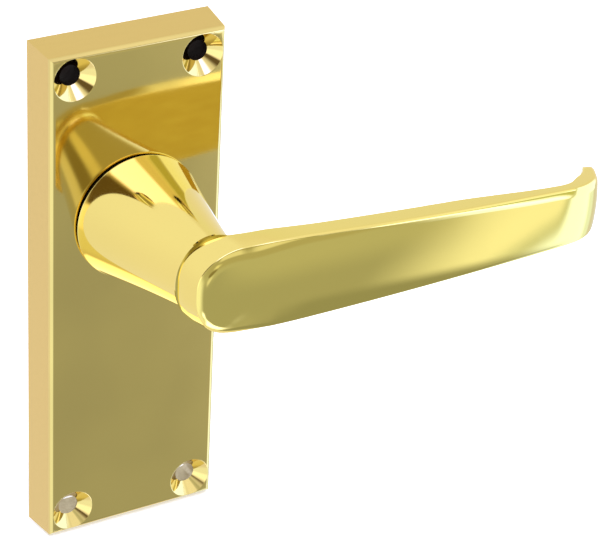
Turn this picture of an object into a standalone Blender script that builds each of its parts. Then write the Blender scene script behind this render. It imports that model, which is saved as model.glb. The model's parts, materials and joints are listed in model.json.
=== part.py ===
"""Sprung door lever handle on a short latch backplate, with the lever at rest.

The door's face is the plane y = 0. +X runs along the lever, +Y goes into the door
and +Z is up. The origin is on the spindle's axis, at the door's face. Every piece
is modelled in a frame on that axis, where x runs along the lever, y is up and z is
the height above the door, and an empty turns that frame upright.
"""

import math

import bmesh
import bpy

MM = 0.001

# Clearance between pieces that touch, and how far a cutter runs past the face it cuts.
GAP = 0.3 * MM
THIN_GAP = 0.2 * MM
OVERRUN = 1.0 * MM

# Backplate: a hollow casting, open towards the door.
PLATE_HEIGHT = 118.0 * MM
PLATE_WIDTH = 41.8 * MM
PLATE_DEPTH = 9.8 * MM
PLATE_DRAFT = 0.75 * MM
PLATE_EDGE_RADIUS = 1.1 * MM
PLATE_CENTRE_Y = -18.5 * MM
RIM_WIDTH = 2.2 * MM
FLOOR_HEIGHT = 8.0 * MM
CAVITY_DRAFT = 0.5 * MM
RIB_THICKNESS = 1.6 * MM
RIB_SETBACK = 0.5 * MM
RIB_PLACES = (20.8 * MM, -20.8 * MM, -42.0 * MM)

# Screw holes for No. 8 countersunk wood screws, two at each end of the plate.
SCREW_SPACING_X = 29.4 * MM
SCREW_SPACING_Y = 106.0 * MM
SCREW_HOLE_RADIUS = 2.3 * MM
SCREW_HEAD_RADIUS = 4.8 * MM
SCREW_BOSS_RADIUS = 5.2 * MM
SCREW_PAD_HEIGHT = 7.0 * MM

# The hub that carries the lever, on the plate.
HUB_RADIUS = 10.6 * MM
HUB_END = 5.7 * MM
FLANGE_POCKET_DEPTH = 0.9 * MM

# Lever: the spigot that turns in the plate.
SPIGOT_RADIUS = 7.0 * MM
SPIGOT_END = 0.2 * MM
SPIGOT_FLATS = 12.4 * MM
FLATS_TOP = 4.9 * MM
SOCKET_WIDTH = 8.1 * MM
SOCKET_DEPTH = 32.0 * MM
GROOVE_RADIUS = 6.4 * MM
GROOVE_LOW = 0.9 * MM
GROOVE_HIGH = 2.1 * MM

# Lever: the neck, a round foot that narrows to an oval behind the blade.
NECK_FOOT = PLATE_DEPTH + 0.55 * MM
NECK_FOOT_RADIUS = 14.4 * MM
NECK_FOOT_ROUND = 0.4 * MM
NECK_TOP = 41.0 * MM
NECK_TOP_HALF_X = 6.5 * MM
NECK_TOP_HALF_Y = 8.9 * MM
NECK_TOP_SHIFT = 1.8 * MM
NECK_WAIST = 0.25 * MM
NECK_INSIDE_BLADE = 3.0 * MM

# Lever: the blade. It bows away from the door, and its tip curls back towards it.
BLADE_LEFT = -6.9 * MM
BLADE_END_LENGTH = 12.7 * MM
BLADE_END_POWER = 2.5
BLADE_HALF_HEIGHT = 10.1 * MM
BLADE_TAPER_FROM = 12.0 * MM
BLADE_TAPER = 0.0475
BOW_TOP_X = 82.0 * MM
BOW_TOP_HEIGHT = 50.65 * MM
BOW_RADIUS = 900.0 * MM
CURL_FROM_X = 84.4 * MM
CURL_RADIUS = 11.5 * MM
CURL_ANGLE = math.radians(63)
TIP_RUN = 4.0 * MM
TIP_CORNER_RADIUS = 2.0 * MM
TIP_CORNER_STEPS = 5
CROWN_RADIUS = 45.0 * MM
CROWN_RUN_IN = 12.0 * MM
FRONT_ROUND = 1.2 * MM
FRONT_ROUND_STEPS = 3
BACK_ROUND = 0.6 * MM
BACK_ROUND_STEPS = 2
# Thickness of the blade at places along it, by x on the straight part.
BLADE_THICKNESS = (
    (-6.9 * MM, 7.0 * MM),
    (9.0 * MM, 5.6 * MM),
    (25.0 * MM, 5.1 * MM),
    (55.0 * MM, 5.1 * MM),
    (83.0 * MM, 3.5 * MM),
    (91.0 * MM, 4.5 * MM),
    (101.0 * MM, 3.0 * MM),
)

# Nylon bush between the plate and the lever.
BUSH_INNER_RADIUS = SPIGOT_RADIUS + 0.25 * MM
BUSH_OUTER_RADIUS = 8.3 * MM
BUSH_FLANGE_RADIUS = 13.2 * MM
BUSH_FLANGE_LOW = PLATE_DEPTH - FLANGE_POCKET_DEPTH + THIN_GAP
BUSH_FLANGE_HIGH = NECK_FOOT - GAP

# The stack behind the hub, each piece given by its faces' heights above the door.
THRUST_WASHER = (5.0 * MM, 5.5 * MM)
CAM_HUB = (2.8 * MM, 4.8 * MM)
CAM_ARM = (2.8 * MM, 3.9 * MM)
RETAINING_WASHER = (2.1 * MM, 2.6 * MM)
CIRCLIP = (1.1 * MM, 1.9 * MM)
WASHER_RADIUS = 10.2 * MM

# Drive cam: its arm works between two stops cast on the plate.
LEVER_TRAVEL = math.radians(50)
CAM_ARM_ANGLE = math.radians(138)
CAM_HUB_RADIUS = 10.6 * MM
CAM_ARM_HALF_WIDTH = 2.6 * MM
CAM_ARM_RADIUS = 16.8 * MM
CAM_TAB_HALF_WIDTH = 1.0 * MM
CAM_TAB_INNER_RADIUS = 14.0 * MM
CAM_TAB_TOP = 5.6 * MM
STOP_INNER_RADIUS = 13.6 * MM
STOP_OUTER_RADIUS = 17.0 * MM
STOP_WIDTH = 2.8 * MM
STOP_LOW = 2.6 * MM

# Torsion spring round the hub, one leg on the plate and the other on the cam.
SPRING_WIRE_RADIUS = 0.7 * MM
SPRING_COIL_RADIUS = 12.1 * MM
SPRING_TURNS = 1.55
SPRING_STEPS_PER_TURN = 36
SPRING_FIXED_HEIGHT = 7.05 * MM
SPRING_MOVING_HEIGHT = 4.8 * MM
SPRING_BEND_RADIUS = 1.95 * MM
SPRING_BEND_STEPS = 4
SPRING_LEG_RADIUS = 16.4 * MM
SPRING_ANCHOR_LOW = 6.2 * MM

# Circlip on the spigot.
CIRCLIP_INNER_RADIUS = 6.65 * MM
CIRCLIP_OUTER_RADIUS = 8.5 * MM
CIRCLIP_OFFSET = 0.25 * MM
CIRCLIP_GAP_ANGLE = math.radians(13)
CIRCLIP_EAR_ANGLE = math.radians(17)
CIRCLIP_EAR_RADIUS = 9.7 * MM
CIRCLIP_EYE_RADIUS = 0.6 * MM
CIRCLIP_STEPS = 40
CIRCLIP_EYE_STEPS = 12

ROUND_STEPS = 48
SMOOTH_ANGLE = math.radians(30)


def clear_scene():
    """Remove whatever the startup scene holds."""
    for obj in list(bpy.data.objects):
        bpy.data.objects.remove(obj, do_unlink=True)


def make_collection(name):
    collection = bpy.data.collections.new(name)
    bpy.context.scene.collection.children.link(collection)
    return collection


def make_material(name, colour, roughness, metallic):
    """A Principled material with one colour."""
    material = bpy.data.materials.new(name)
    material.use_nodes = True
    shader = material.node_tree.nodes["Principled BSDF"]
    shader.inputs["Base Color"].default_value = (*colour, 1.0)
    shader.inputs["Roughness"].default_value = roughness
    shader.inputs["Metallic"].default_value = metallic
    return material


def add_empty(name, collection):
    """An empty on the spindle's axis whose z stands out from the door."""
    empty = bpy.data.objects.new(name, None)
    empty.rotation_euler = (math.radians(90), 0.0, 0.0)
    collection.objects.link(empty)
    return empty


def add_mesh(name, points, edges, faces):
    """An object from points and the edges or faces between them."""
    mesh = bpy.data.meshes.new(name)
    mesh.from_pydata(points, edges, faces)
    mesh.update()
    return bpy.data.objects.new(name, mesh)


def add_shape(name, build):
    """An object whose mesh is filled in by a function that takes a bmesh."""
    shape = bmesh.new()
    build(shape)
    mesh = bpy.data.meshes.new(name)
    shape.to_mesh(mesh)
    shape.free()
    return bpy.data.objects.new(name, mesh)


def add_cone(name, radius_low, radius_high, low, high, centre=(0.0, 0.0)):
    """A cone or cylinder that stands on height low and ends at height high."""

    def build(shape):
        bmesh.ops.create_cone(
            shape,
            cap_ends=True,
            segments=ROUND_STEPS if radius_high > SPIGOT_RADIUS / 2 else ROUND_STEPS // 2,
            radius1=radius_low,
            radius2=radius_high,
            depth=high - low,
        )

    obj = add_shape(name, build)
    obj.location = (centre[0], centre[1], (low + high) / 2)
    return obj


def add_box(name, low, high, angle=0.0):
    """A box between two corners, turned about the spindle's axis."""

    def build(shape):
        bmesh.ops.create_cube(shape, size=1.0)
        size = [end - start for start, end in zip(low, high)]
        middle = [(start + end) / 2 for start, end in zip(low, high)]
        bmesh.ops.scale(shape, vec=size, verts=shape.verts)
        bmesh.ops.translate(shape, vec=middle, verts=shape.verts)

    obj = add_shape(name, build)
    obj.rotation_euler = (0.0, 0.0, angle)
    return obj


def add_tapered_box(name, half_size_low, half_size_high, low, high, round_radius=0.0):
    """A box with draft, centred on the plate, with its upper edges rounded."""

    def build(shape):
        bmesh.ops.create_cube(shape, size=2.0)
        for vert in shape.verts:
            half = half_size_high if vert.co.z > 0 else half_size_low
            vert.co.x *= half[0]
            vert.co.y *= half[1]
            vert.co.z = high if vert.co.z > 0 else low
        if round_radius:
            edges = [e for e in shape.edges if min(v.co.z for v in e.verts) > (low + high) / 2]
            bmesh.ops.bevel(
                shape,
                geom=edges,
                offset=round_radius,
                segments=3,
                profile=0.5,
                affect="EDGES",
            )

    obj = add_shape(name, build)
    obj.location = (0.0, PLATE_CENTRE_Y, 0.0)
    return obj


def add_turned(name, profile):
    """A solid of revolution about z, from a closed profile of (radius, height) points."""
    points = [(radius, 0.0, height) for radius, height in profile]
    count = len(points)
    edges = [(i, (i + 1) % count) for i in range(count)]
    obj = add_mesh(name, points, edges, [])
    screw = obj.modifiers.new("turn", "SCREW")
    screw.axis = "Z"
    screw.angle = math.tau
    screw.steps = ROUND_STEPS
    screw.render_steps = ROUND_STEPS
    screw.use_merge_vertices = True
    screw.merge_threshold = 0.00001
    screw.use_normal_calculate = False
    return obj


def ring_profile(inner, outer, low, high):
    """The closed profile of a plain ring, down its outer side first."""
    return [(outer, high), (outer, low), (inner, low), (inner, high)]


def add_flat(name, outlines, low, high):
    """A flat piece from closed 2D outlines, as a mesh between two heights."""
    curve = bpy.data.curves.new(name, "CURVE")
    curve.dimensions = "2D"
    curve.fill_mode = "BOTH"
    curve.extrude = (high - low) / 2
    for outline in outlines:
        spline = curve.splines.new("POLY")
        spline.points.add(len(outline) - 1)
        for point, place in zip(spline.points, outline):
            point.co = (place[0], place[1], 0.0, 1.0)
        spline.use_cyclic_u = True
    guide = bpy.data.objects.new(name + "_outline", curve)
    bpy.context.scene.collection.objects.link(guide)
    graph = bpy.context.evaluated_depsgraph_get()
    mesh = bpy.data.meshes.new_from_object(guide.evaluated_get(graph))
    bpy.data.objects.remove(guide, do_unlink=True)
    shape = bmesh.new()
    shape.from_mesh(mesh)
    bmesh.ops.remove_doubles(shape, verts=shape.verts, dist=0.00001)
    shape.to_mesh(mesh)
    shape.free()
    obj = bpy.data.objects.new(name, mesh)
    obj.location = (0.0, 0.0, (low + high) / 2)
    return obj


def combine(target, tool, operation, cutters):
    """Join, cut or intersect the target with a hidden tool in the same frame."""
    tool.parent = target.parent
    tool.hide_render = True
    tool.display_type = "WIRE"
    cutters.objects.link(tool)
    boolean = target.modifiers.new(tool.name, "BOOLEAN")
    boolean.operation = operation
    boolean.solver = "EXACT"
    boolean.object = tool


def finish_part(obj, parent, parts, material):
    """Put a piece in the object's collection, under its empty, shaded smooth."""
    parts.objects.link(obj)
    obj.parent = parent
    obj.data.materials.append(material)
    if obj.type == "MESH":
        obj.data.shade_smooth()
        obj.data.set_sharp_from_angle(angle=SMOOTH_ANGLE)


def polar(radius, angle):
    return radius * math.cos(angle), radius * math.sin(angle)


def arc(centre, radius, start, end, steps):
    """Points on an arc, ends included."""
    points = []
    for i in range(steps + 1):
        x, y = polar(radius, start + (end - start) * i / steps)
        points.append((centre[0] + x, centre[1] + y))
    return points


def smooth_between(table, value):
    """Read a table of (place, size) with smooth steps between its entries."""
    for (start, first), (end, second) in zip(table, table[1:]):
        if value <= end:
            share = max(0.0, (value - start) / (end - start))
            return first + (second - first) * share * share * (3 - 2 * share)
    return table[-1][1]


# Backplate


def build_backplate(parent, parts, cutters, material):
    half_width = PLATE_WIDTH / 2
    half_height = PLATE_HEIGHT / 2
    plate = add_tapered_box(
        "backplate",
        (half_width, half_height),
        (half_width - PLATE_DRAFT, half_height - PLATE_DRAFT),
        0.0,
        PLATE_DEPTH,
        PLATE_EDGE_RADIUS,
    )
    finish_part(plate, parent, parts, material)

    cavity_low = (half_width - RIM_WIDTH, half_height - RIM_WIDTH)
    cavity_high = (cavity_low[0] - CAVITY_DRAFT, cavity_low[1] - CAVITY_DRAFT)
    cavity = add_tapered_box("cavity", cavity_low, cavity_high, -OVERRUN, FLOOR_HEIGHT)
    combine(plate, cavity, "DIFFERENCE", cutters)

    for tool in plate_additions(half_width, half_height):
        combine(plate, tool, "UNION", cutters)
    for tool in plate_holes():
        combine(plate, tool, "DIFFERENCE", cutters)
    return plate


def screw_places():
    """The four screw holes' centres, with True for the upper pair."""
    for upper, side_y in ((True, 1), (False, -1)):
        for side_x in (-1, 1):
            x = side_x * SCREW_SPACING_X / 2
            y = PLATE_CENTRE_Y + side_y * SCREW_SPACING_Y / 2
            yield x, y, upper


def plate_additions(half_width, half_height):
    """What stands on the floor of the hollow: hub, ribs, screw bosses, stops and anchor."""
    inside_floor = FLOOR_HEIGHT + OVERRUN / 2
    tools = [add_cone("hub", HUB_RADIUS, HUB_RADIUS, HUB_END, inside_floor)]
    wall_x = half_width - RIM_WIDTH / 2 - CAVITY_DRAFT
    for i, place in enumerate(RIB_PLACES):
        low = (-wall_x, place - RIB_THICKNESS / 2, RIB_SETBACK)
        high = (wall_x, place + RIB_THICKNESS / 2, inside_floor)
        tools.append(add_box(f"rib_{i + 1}", low, high))
    for i, (x, y, upper) in enumerate(screw_places()):
        low = 0.0 if upper else SCREW_PAD_HEIGHT
        name = f"screw_boss_{i + 1}"
        tools.append(add_cone(name, SCREW_BOSS_RADIUS, SCREW_BOSS_RADIUS, low, inside_floor, (x, y)))

    near = CAM_ARM_HALF_WIDTH + GAP
    far = near + STOP_WIDTH
    stop_low = (STOP_INNER_RADIUS, near, STOP_LOW)
    stop_high = (STOP_OUTER_RADIUS, far, inside_floor)
    tools.append(add_box("rest_stop", stop_low, stop_high, CAM_ARM_ANGLE))
    stop_low = (STOP_INNER_RADIUS, -far, STOP_LOW)
    stop_high = (STOP_OUTER_RADIUS, -near, inside_floor)
    tools.append(add_box("end_stop", stop_low, stop_high, CAM_ARM_ANGLE - LEVER_TRAVEL))

    leg_side = SPRING_BEND_RADIUS - SPRING_WIRE_RADIUS - THIN_GAP
    anchor_low = (STOP_INNER_RADIUS, leg_side - STOP_WIDTH, SPRING_ANCHOR_LOW)
    anchor_high = (STOP_OUTER_RADIUS, leg_side, inside_floor)
    tools.append(add_box("spring_anchor", anchor_low, anchor_high, spring_fixed_angle()))
    return tools


def plate_holes():
    """The bore for the bush, the pocket for its flange and the countersunk screw holes."""
    bore_radius = BUSH_OUTER_RADIUS + GAP
    pocket_radius = BUSH_FLANGE_RADIUS + GAP
    pocket_floor = PLATE_DEPTH - FLANGE_POCKET_DEPTH
    above = PLATE_DEPTH + OVERRUN
    tools = [
        add_cone("bush_bore", bore_radius, bore_radius, HUB_END - OVERRUN, above),
        add_cone("flange_pocket", pocket_radius, pocket_radius, pocket_floor, above),
    ]
    sink_depth = SCREW_HEAD_RADIUS - SCREW_HOLE_RADIUS
    sink_radius = SCREW_HEAD_RADIUS + OVERRUN
    for i, (x, y, _) in enumerate(screw_places()):
        place = (x, y)
        hole = (SCREW_HOLE_RADIUS, SCREW_HOLE_RADIUS, -OVERRUN, PLATE_DEPTH, place)
        sink = (SCREW_HOLE_RADIUS, sink_radius, PLATE_DEPTH - sink_depth, above, place)
        tools.append(add_cone(f"screw_hole_{i + 1}", *hole))
        tools.append(add_cone(f"countersink_{i + 1}", *sink))
    return tools


# Lever


def blade_length():
    """Length along the blade's face, round the curl."""
    return CURL_FROM_X - BLADE_LEFT + CURL_RADIUS * CURL_ANGLE + TIP_RUN


def blade_frame(place):
    """Where the face's edge lies at a place along the blade, and its heading to the door."""
    x = BLADE_LEFT + place
    if x <= CURL_FROM_X:
        away = BOW_TOP_X - min(x, BOW_TOP_X)
        return x, BOW_TOP_HEIGHT - away * away / (2 * BOW_RADIUS), -away / BOW_RADIUS
    turn = min((x - CURL_FROM_X) / CURL_RADIUS, CURL_ANGLE)
    run = x - CURL_FROM_X - CURL_RADIUS * turn
    along = CURL_FROM_X + CURL_RADIUS * math.sin(turn) + run * math.cos(turn)
    height = BOW_TOP_HEIGHT - CURL_RADIUS * (1 - math.cos(turn)) - run * math.sin(turn)
    return along, height, turn


def blade_point(place, up, below):
    """A point of the blade from its place along, its height up and its depth under the face."""
    x, height, heading = blade_frame(place)
    return x - below * math.sin(heading), up, height - below * math.cos(heading)


def blade_outline(steps_end, steps_taper):
    """The blade's upper edge as (place, half height), from the round end to the tip."""
    outline = []
    for i in range(steps_end + 1):
        turn = math.pi / 2 * i / steps_end
        place = BLADE_END_LENGTH * (1 - math.cos(turn) ** (2 / BLADE_END_POWER))
        outline.append((place, BLADE_HALF_HEIGHT * math.sin(turn) ** (2 / BLADE_END_POWER)))
    end = blade_length()
    taper_from = BLADE_TAPER_FROM - BLADE_LEFT
    tip_half = BLADE_HALF_HEIGHT - BLADE_TAPER * (end - taper_from)
    last = end - TIP_CORNER_RADIUS
    for i in range(1, steps_taper + 1):
        place = BLADE_END_LENGTH + (last - BLADE_END_LENGTH) * i / steps_taper
        half = BLADE_HALF_HEIGHT - BLADE_TAPER * max(0.0, place - taper_from)
        outline.append((place, half))
    corner = (last, tip_half - TIP_CORNER_RADIUS)
    outline += arc(corner, TIP_CORNER_RADIUS, math.pi / 2, 0.0, TIP_CORNER_STEPS)[1:]
    outline.append((end, 0.0))
    return outline


def inset(outline, distance):
    """The outline moved inwards by a distance, its ends kept on the middle line."""
    moved = []
    for i, (place, half) in enumerate(outline):
        before = outline[i - 1] if i > 0 else (outline[1][0], -outline[1][1])
        after = outline[i + 1] if i + 1 < len(outline) else (outline[-2][0], -outline[-2][1])
        step = (after[0] - before[0], after[1] - before[1])
        length = math.hypot(*step)
        moved.append((place + distance * step[1] / length, half - distance * step[0] / length))
    return moved


def crown(place, up, half):
    """How far the face stands proud of its edge."""
    run_in = min(1.0, place / CROWN_RUN_IN)
    rise = half * half / (2 * CROWN_RADIUS) * math.sin(math.pi / 2 * run_in)
    return rise * (1 - (up / half) ** 2) if half else 0.0


def blade_thickness(place):
    return smooth_between(BLADE_THICKNESS, BLADE_LEFT + place)


def blade_rings(outline):
    """The blade's rings of (outline, depth under the face), from face to back."""
    rings = []
    for i in range(FRONT_ROUND_STEPS + 1):
        turn = math.pi / 2 * (1 - i / FRONT_ROUND_STEPS)
        moved = inset(outline, FRONT_ROUND * (1 - math.cos(turn)))
        rings.append([(p, h, FRONT_ROUND * (1 - math.sin(turn))) for p, h in moved])
    for i in range(BACK_ROUND_STEPS + 1):
        turn = math.pi / 2 * i / BACK_ROUND_STEPS
        moved = inset(outline, BACK_ROUND * (1 - math.cos(turn)))
        rise = BACK_ROUND * (1 - math.sin(turn))
        rings.append([(p, h, blade_thickness(p) - rise) for p, h in moved])
    return rings


def build_blade(steps_end=12, steps_taper=24, columns=6):
    """A loft: rings round the outline, closed by a crowned face and a plain back."""
    outline = blade_outline(steps_end, steps_taper)
    rings = blade_rings(outline)
    count = len(outline)
    around = 2 * count - 2
    points = []
    for ring in rings:
        upper = [blade_point(p, h, below) for p, h, below in ring]
        lower = [(x, -y, z) for x, y, z in reversed(upper[1:-1])]
        points += upper + lower
    faces = []
    for ring in range(len(rings) - 1):
        for i in range(around):
            start = ring * around
            after = (i + 1) % around
            faces.append((start + i, start + after, start + around + after, start + around + i))

    def close(ring_index, rise):
        """Fill inside a ring with rows of quads from its upper to its lower half."""
        ring = rings[ring_index]
        start = ring_index * around
        rows = []
        for i, (place, half, below) in enumerate(ring):
            if i in (0, count - 1):
                rows.append([start + i] * (columns + 1))
                continue
            row = [start + i]
            for j in range(1, columns):
                up = half * (1 - 2 * j / columns)
                row.append(len(points))
                points.append(blade_point(place, up, below - rise(place, up, half)))
            row.append(start + around - i)
            rows.append(row)
        for first, second in zip(rows, rows[1:]):
            for j in range(columns):
                corners = (first[j], first[j + 1], second[j + 1], second[j])
                face = tuple(dict.fromkeys(corners))
                faces.append(face if ring_index == 0 else face[::-1])

    close(0, crown)
    close(len(rings) - 1, lambda place, up, half: 0.0)
    return add_mesh("blade", points, [], faces)


def neck_ring(height):
    """Centre and half sizes of the neck at a height above the door."""
    share = (height - NECK_FOOT) / (NECK_TOP - NECK_FOOT)
    waist = NECK_WAIST * math.sin(math.pi * min(1.0, share))
    half_x = NECK_FOOT_RADIUS + (NECK_TOP_HALF_X - NECK_FOOT_RADIUS) * share - waist
    half_y = NECK_FOOT_RADIUS + (NECK_TOP_HALF_Y - NECK_FOOT_RADIUS) * share - waist
    return NECK_TOP_SHIFT * share, half_x, half_y


def build_neck(rings_up=12):
    """The spigot and neck as one loft of rings, closed at both ends."""
    rings = [
        (0.0, SPIGOT_RADIUS, SPIGOT_RADIUS, SPIGOT_END),
        (0.0, SPIGOT_RADIUS, SPIGOT_RADIUS, NECK_FOOT),
    ]
    for turn in (0.0, math.pi / 4, math.pi / 2):
        radius = NECK_FOOT_RADIUS - NECK_FOOT_ROUND * (1 - math.sin(turn))
        height = NECK_FOOT + NECK_FOOT_ROUND * (1 - math.cos(turn))
        rings.append((0.0, radius, radius, height))
    low = NECK_FOOT + NECK_FOOT_ROUND
    high = NECK_TOP + NECK_INSIDE_BLADE
    for i in range(1, rings_up + 1):
        height = low + (high - low) * i / rings_up
        rings.append((*neck_ring(height), height))
    points = []
    for centre, half_x, half_y, height in rings:
        for i in range(ROUND_STEPS):
            x, y = polar(1.0, math.tau * i / ROUND_STEPS)
            points.append((centre + half_x * x, half_y * y, height))
    faces = [tuple(reversed(range(ROUND_STEPS)))]
    for ring in range(len(rings) - 1):
        start = ring * ROUND_STEPS
        for i in range(ROUND_STEPS):
            after = (i + 1) % ROUND_STEPS
            faces.append((start + i, start + after, start + ROUND_STEPS + after, start + ROUND_STEPS + i))
    last = (len(rings) - 1) * ROUND_STEPS
    faces.append(tuple(range(last, last + ROUND_STEPS)))
    return add_mesh("lever", points, [], faces)


def build_lever(parent, parts, cutters, material):
    """One casting: neck and blade, with the spigot's socket, flats and circlip groove."""
    lever = build_neck()
    finish_part(lever, parent, parts, material)
    combine(lever, build_blade(), "UNION", cutters)

    half_socket = SOCKET_WIDTH / 2
    socket_low = (-half_socket, -half_socket, -OVERRUN)
    socket = add_box("spindle_socket", socket_low, (half_socket, half_socket, SOCKET_DEPTH))
    combine(lever, socket, "DIFFERENCE", cutters)

    outside = SPIGOT_RADIUS + OVERRUN
    groove = add_turned(
        "circlip_groove",
        ring_profile(GROOVE_RADIUS, outside, GROOVE_LOW, GROOVE_HIGH),
    )
    combine(lever, groove, "DIFFERENCE", cutters)

    half_flats = SPIGOT_FLATS / 2
    for side in (-1, 1):
        ends = sorted((side * half_flats, side * outside))
        low = (ends[0], -outside, -OVERRUN)
        high = (ends[1], outside, FLATS_TOP)
        name = "flat_left" if side < 0 else "flat_right"
        combine(lever, add_box(name, low, high), "DIFFERENCE", cutters)
    return lever


# Bush, washers, cam, circlip and spring


def build_neck_bush(parent, parts, material):
    """A sleeve in the plate's bore with a flange under the neck."""
    profile = [
        (BUSH_FLANGE_RADIUS, BUSH_FLANGE_HIGH),
        (BUSH_FLANGE_RADIUS, BUSH_FLANGE_LOW),
        (BUSH_OUTER_RADIUS, BUSH_FLANGE_LOW),
        (BUSH_OUTER_RADIUS, HUB_END),
        (BUSH_INNER_RADIUS, HUB_END),
        (BUSH_INNER_RADIUS, BUSH_FLANGE_HIGH),
    ]
    finish_part(add_turned("neck_bush", profile), parent, parts, material)


def build_washer(name, faces, parent, parts, material):
    profile = ring_profile(BUSH_INNER_RADIUS, WASHER_RADIUS, *faces)
    finish_part(add_turned(name, profile), parent, parts, material)


def build_drive_cam(parent, parts, cutters, material):
    """A hub keyed on the spigot's flats, an arm between the stops and a tab on the spring."""
    cam = add_cone("drive_cam", CAM_HUB_RADIUS, CAM_HUB_RADIUS, *CAM_HUB)
    finish_part(cam, parent, parts, material)
    arm_low = (CAM_HUB_RADIUS / 2, -CAM_ARM_HALF_WIDTH, CAM_ARM[0])
    arm_high = (CAM_ARM_RADIUS, CAM_ARM_HALF_WIDTH, CAM_ARM[1])
    combine(cam, add_box("cam_arm", arm_low, arm_high, CAM_ARM_ANGLE), "UNION", cutters)
    tab_low = (CAM_TAB_INNER_RADIUS, -CAM_TAB_HALF_WIDTH, sum(CAM_ARM) / 2)
    tab_high = (CAM_ARM_RADIUS - GAP, CAM_TAB_HALF_WIDTH, CAM_TAB_TOP)
    combine(cam, add_box("cam_tab", tab_low, tab_high, CAM_ARM_ANGLE), "UNION", cutters)
    combine(cam, build_keyed_hole(), "DIFFERENCE", cutters)


def build_keyed_hole():
    """The cam's hole: the spigot's section with clearance all round."""
    radius = BUSH_INNER_RADIUS
    half = SPIGOT_FLATS / 2 + (BUSH_INNER_RADIUS - SPIGOT_RADIUS)
    corner = math.acos(half / radius)
    steps = ROUND_STEPS // 3
    outline = arc((0.0, 0.0), radius, corner, math.pi - corner, steps)
    outline += arc((0.0, 0.0), radius, math.pi + corner, math.tau - corner, steps)
    return add_flat("keyed_hole", [outline], CAM_HUB[0] - OVERRUN, CAM_HUB[1] + OVERRUN)


def build_circlip(parent, parts, material):
    """An open ring, thicker opposite its gap, with an eyed ear at each end."""
    gap = CIRCLIP_GAP_ANGLE
    ear = gap + CIRCLIP_EAR_ANGLE
    down = -math.pi / 2
    middle = (0.0, 0.0)
    inner = arc(middle, CIRCLIP_INNER_RADIUS, down - gap, down + gap - math.tau, CIRCLIP_STEPS)
    centre = (0.0, CIRCLIP_OFFSET)
    outer = arc(centre, CIRCLIP_OUTER_RADIUS, down + ear - math.tau, down - ear, CIRCLIP_STEPS)
    ear_right = [polar(CIRCLIP_EAR_RADIUS, down + gap), polar(CIRCLIP_EAR_RADIUS, down + ear)]
    ear_left = [polar(CIRCLIP_EAR_RADIUS, down - ear), polar(CIRCLIP_EAR_RADIUS, down - gap)]
    outlines = [inner + ear_right + outer + ear_left]
    eye_distance = (CIRCLIP_INNER_RADIUS + CIRCLIP_EAR_RADIUS) / 2
    for side in (-1, 1):
        ear_middle = down + side * (gap + ear) / 2
        eye = arc(polar(eye_distance, ear_middle), CIRCLIP_EYE_RADIUS, 0.0, math.tau, CIRCLIP_EYE_STEPS)
        outlines.append(eye[:-1])
    finish_part(add_flat("circlip", outlines, *CIRCLIP), parent, parts, material)


def spring_fixed_angle():
    """Where the coil's fixed end lies: the moving end's angle and the turns back from it."""
    return CAM_ARM_ANGLE + SPRING_TURNS * math.tau


def spring_leg(angle, height, side):
    """Points from the coil's end outwards: a bend and then a straight radial leg."""
    turned = []
    centre = SPRING_COIL_RADIUS + SPRING_BEND_RADIUS
    for i in range(1, SPRING_BEND_STEPS + 1):
        bend = math.pi / 2 * i / SPRING_BEND_STEPS
        out = centre - SPRING_BEND_RADIUS * math.cos(bend)
        across = side * SPRING_BEND_RADIUS * math.sin(bend)
        turned.append((out, across))
    turned.append((SPRING_LEG_RADIUS, side * SPRING_BEND_RADIUS))
    points = []
    for out, across in turned:
        x = out * math.cos(angle) - across * math.sin(angle)
        y = out * math.sin(angle) + across * math.cos(angle)
        points.append((x, y, height))
    return points


def build_return_spring(parent, parts, material):
    """A coil that runs clockwise from its leg on the plate to its leg on the cam."""
    start = spring_fixed_angle()
    steps = round(SPRING_TURNS * SPRING_STEPS_PER_TURN)
    coil = []
    for i in range(steps + 1):
        share = i / steps
        x, y = polar(SPRING_COIL_RADIUS, start + (CAM_ARM_ANGLE - start) * share)
        drop = (SPRING_FIXED_HEIGHT - SPRING_MOVING_HEIGHT) * share
        coil.append((x, y, SPRING_FIXED_HEIGHT - drop))
    fixed_leg = spring_leg(start, SPRING_FIXED_HEIGHT, 1)
    moving_leg = spring_leg(CAM_ARM_ANGLE, SPRING_MOVING_HEIGHT, -1)
    path = fixed_leg[::-1] + coil + moving_leg
    curve = bpy.data.curves.new("return_spring", "CURVE")
    curve.dimensions = "3D"
    curve.bevel_depth = SPRING_WIRE_RADIUS
    curve.bevel_resolution = 2
    curve.use_fill_caps = True
    spline = curve.splines.new("POLY")
    spline.points.add(len(path) - 1)
    for point, place in zip(spline.points, path):
        point.co = (*place, 1.0)
    finish_part(bpy.data.objects.new("return_spring", curve), parent, parts, material)


def main():
    clear_scene()
    parts = make_collection("door_lever_handle")
    cutters = make_collection("cutters")
    brass = make_material("polished_brass", (0.83, 0.65, 0.26), 0.08, 1.0)
    steel = make_material("spring_steel", (0.42, 0.43, 0.45), 0.35, 1.0)
    zinc_steel = make_material("zinc_plated_steel", (0.62, 0.64, 0.66), 0.3, 1.0)
    nylon = make_material("black_nylon", (0.02, 0.02, 0.02), 0.5, 0.0)
    door_side = add_empty("door_face", parts)
    lever_axis = add_empty("lever_axis", parts)

    build_backplate(door_side, parts, cutters, brass)
    build_neck_bush(door_side, parts, nylon)
    build_return_spring(door_side, parts, steel)
    build_lever(lever_axis, parts, cutters, brass)
    build_washer("thrust_washer", THRUST_WASHER, lever_axis, parts, nylon)
    build_drive_cam(lever_axis, parts, cutters, zinc_steel)
    build_washer("retaining_washer", RETAINING_WASHER, lever_axis, parts, zinc_steel)
    build_circlip(lever_axis, parts, steel)


main()
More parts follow.
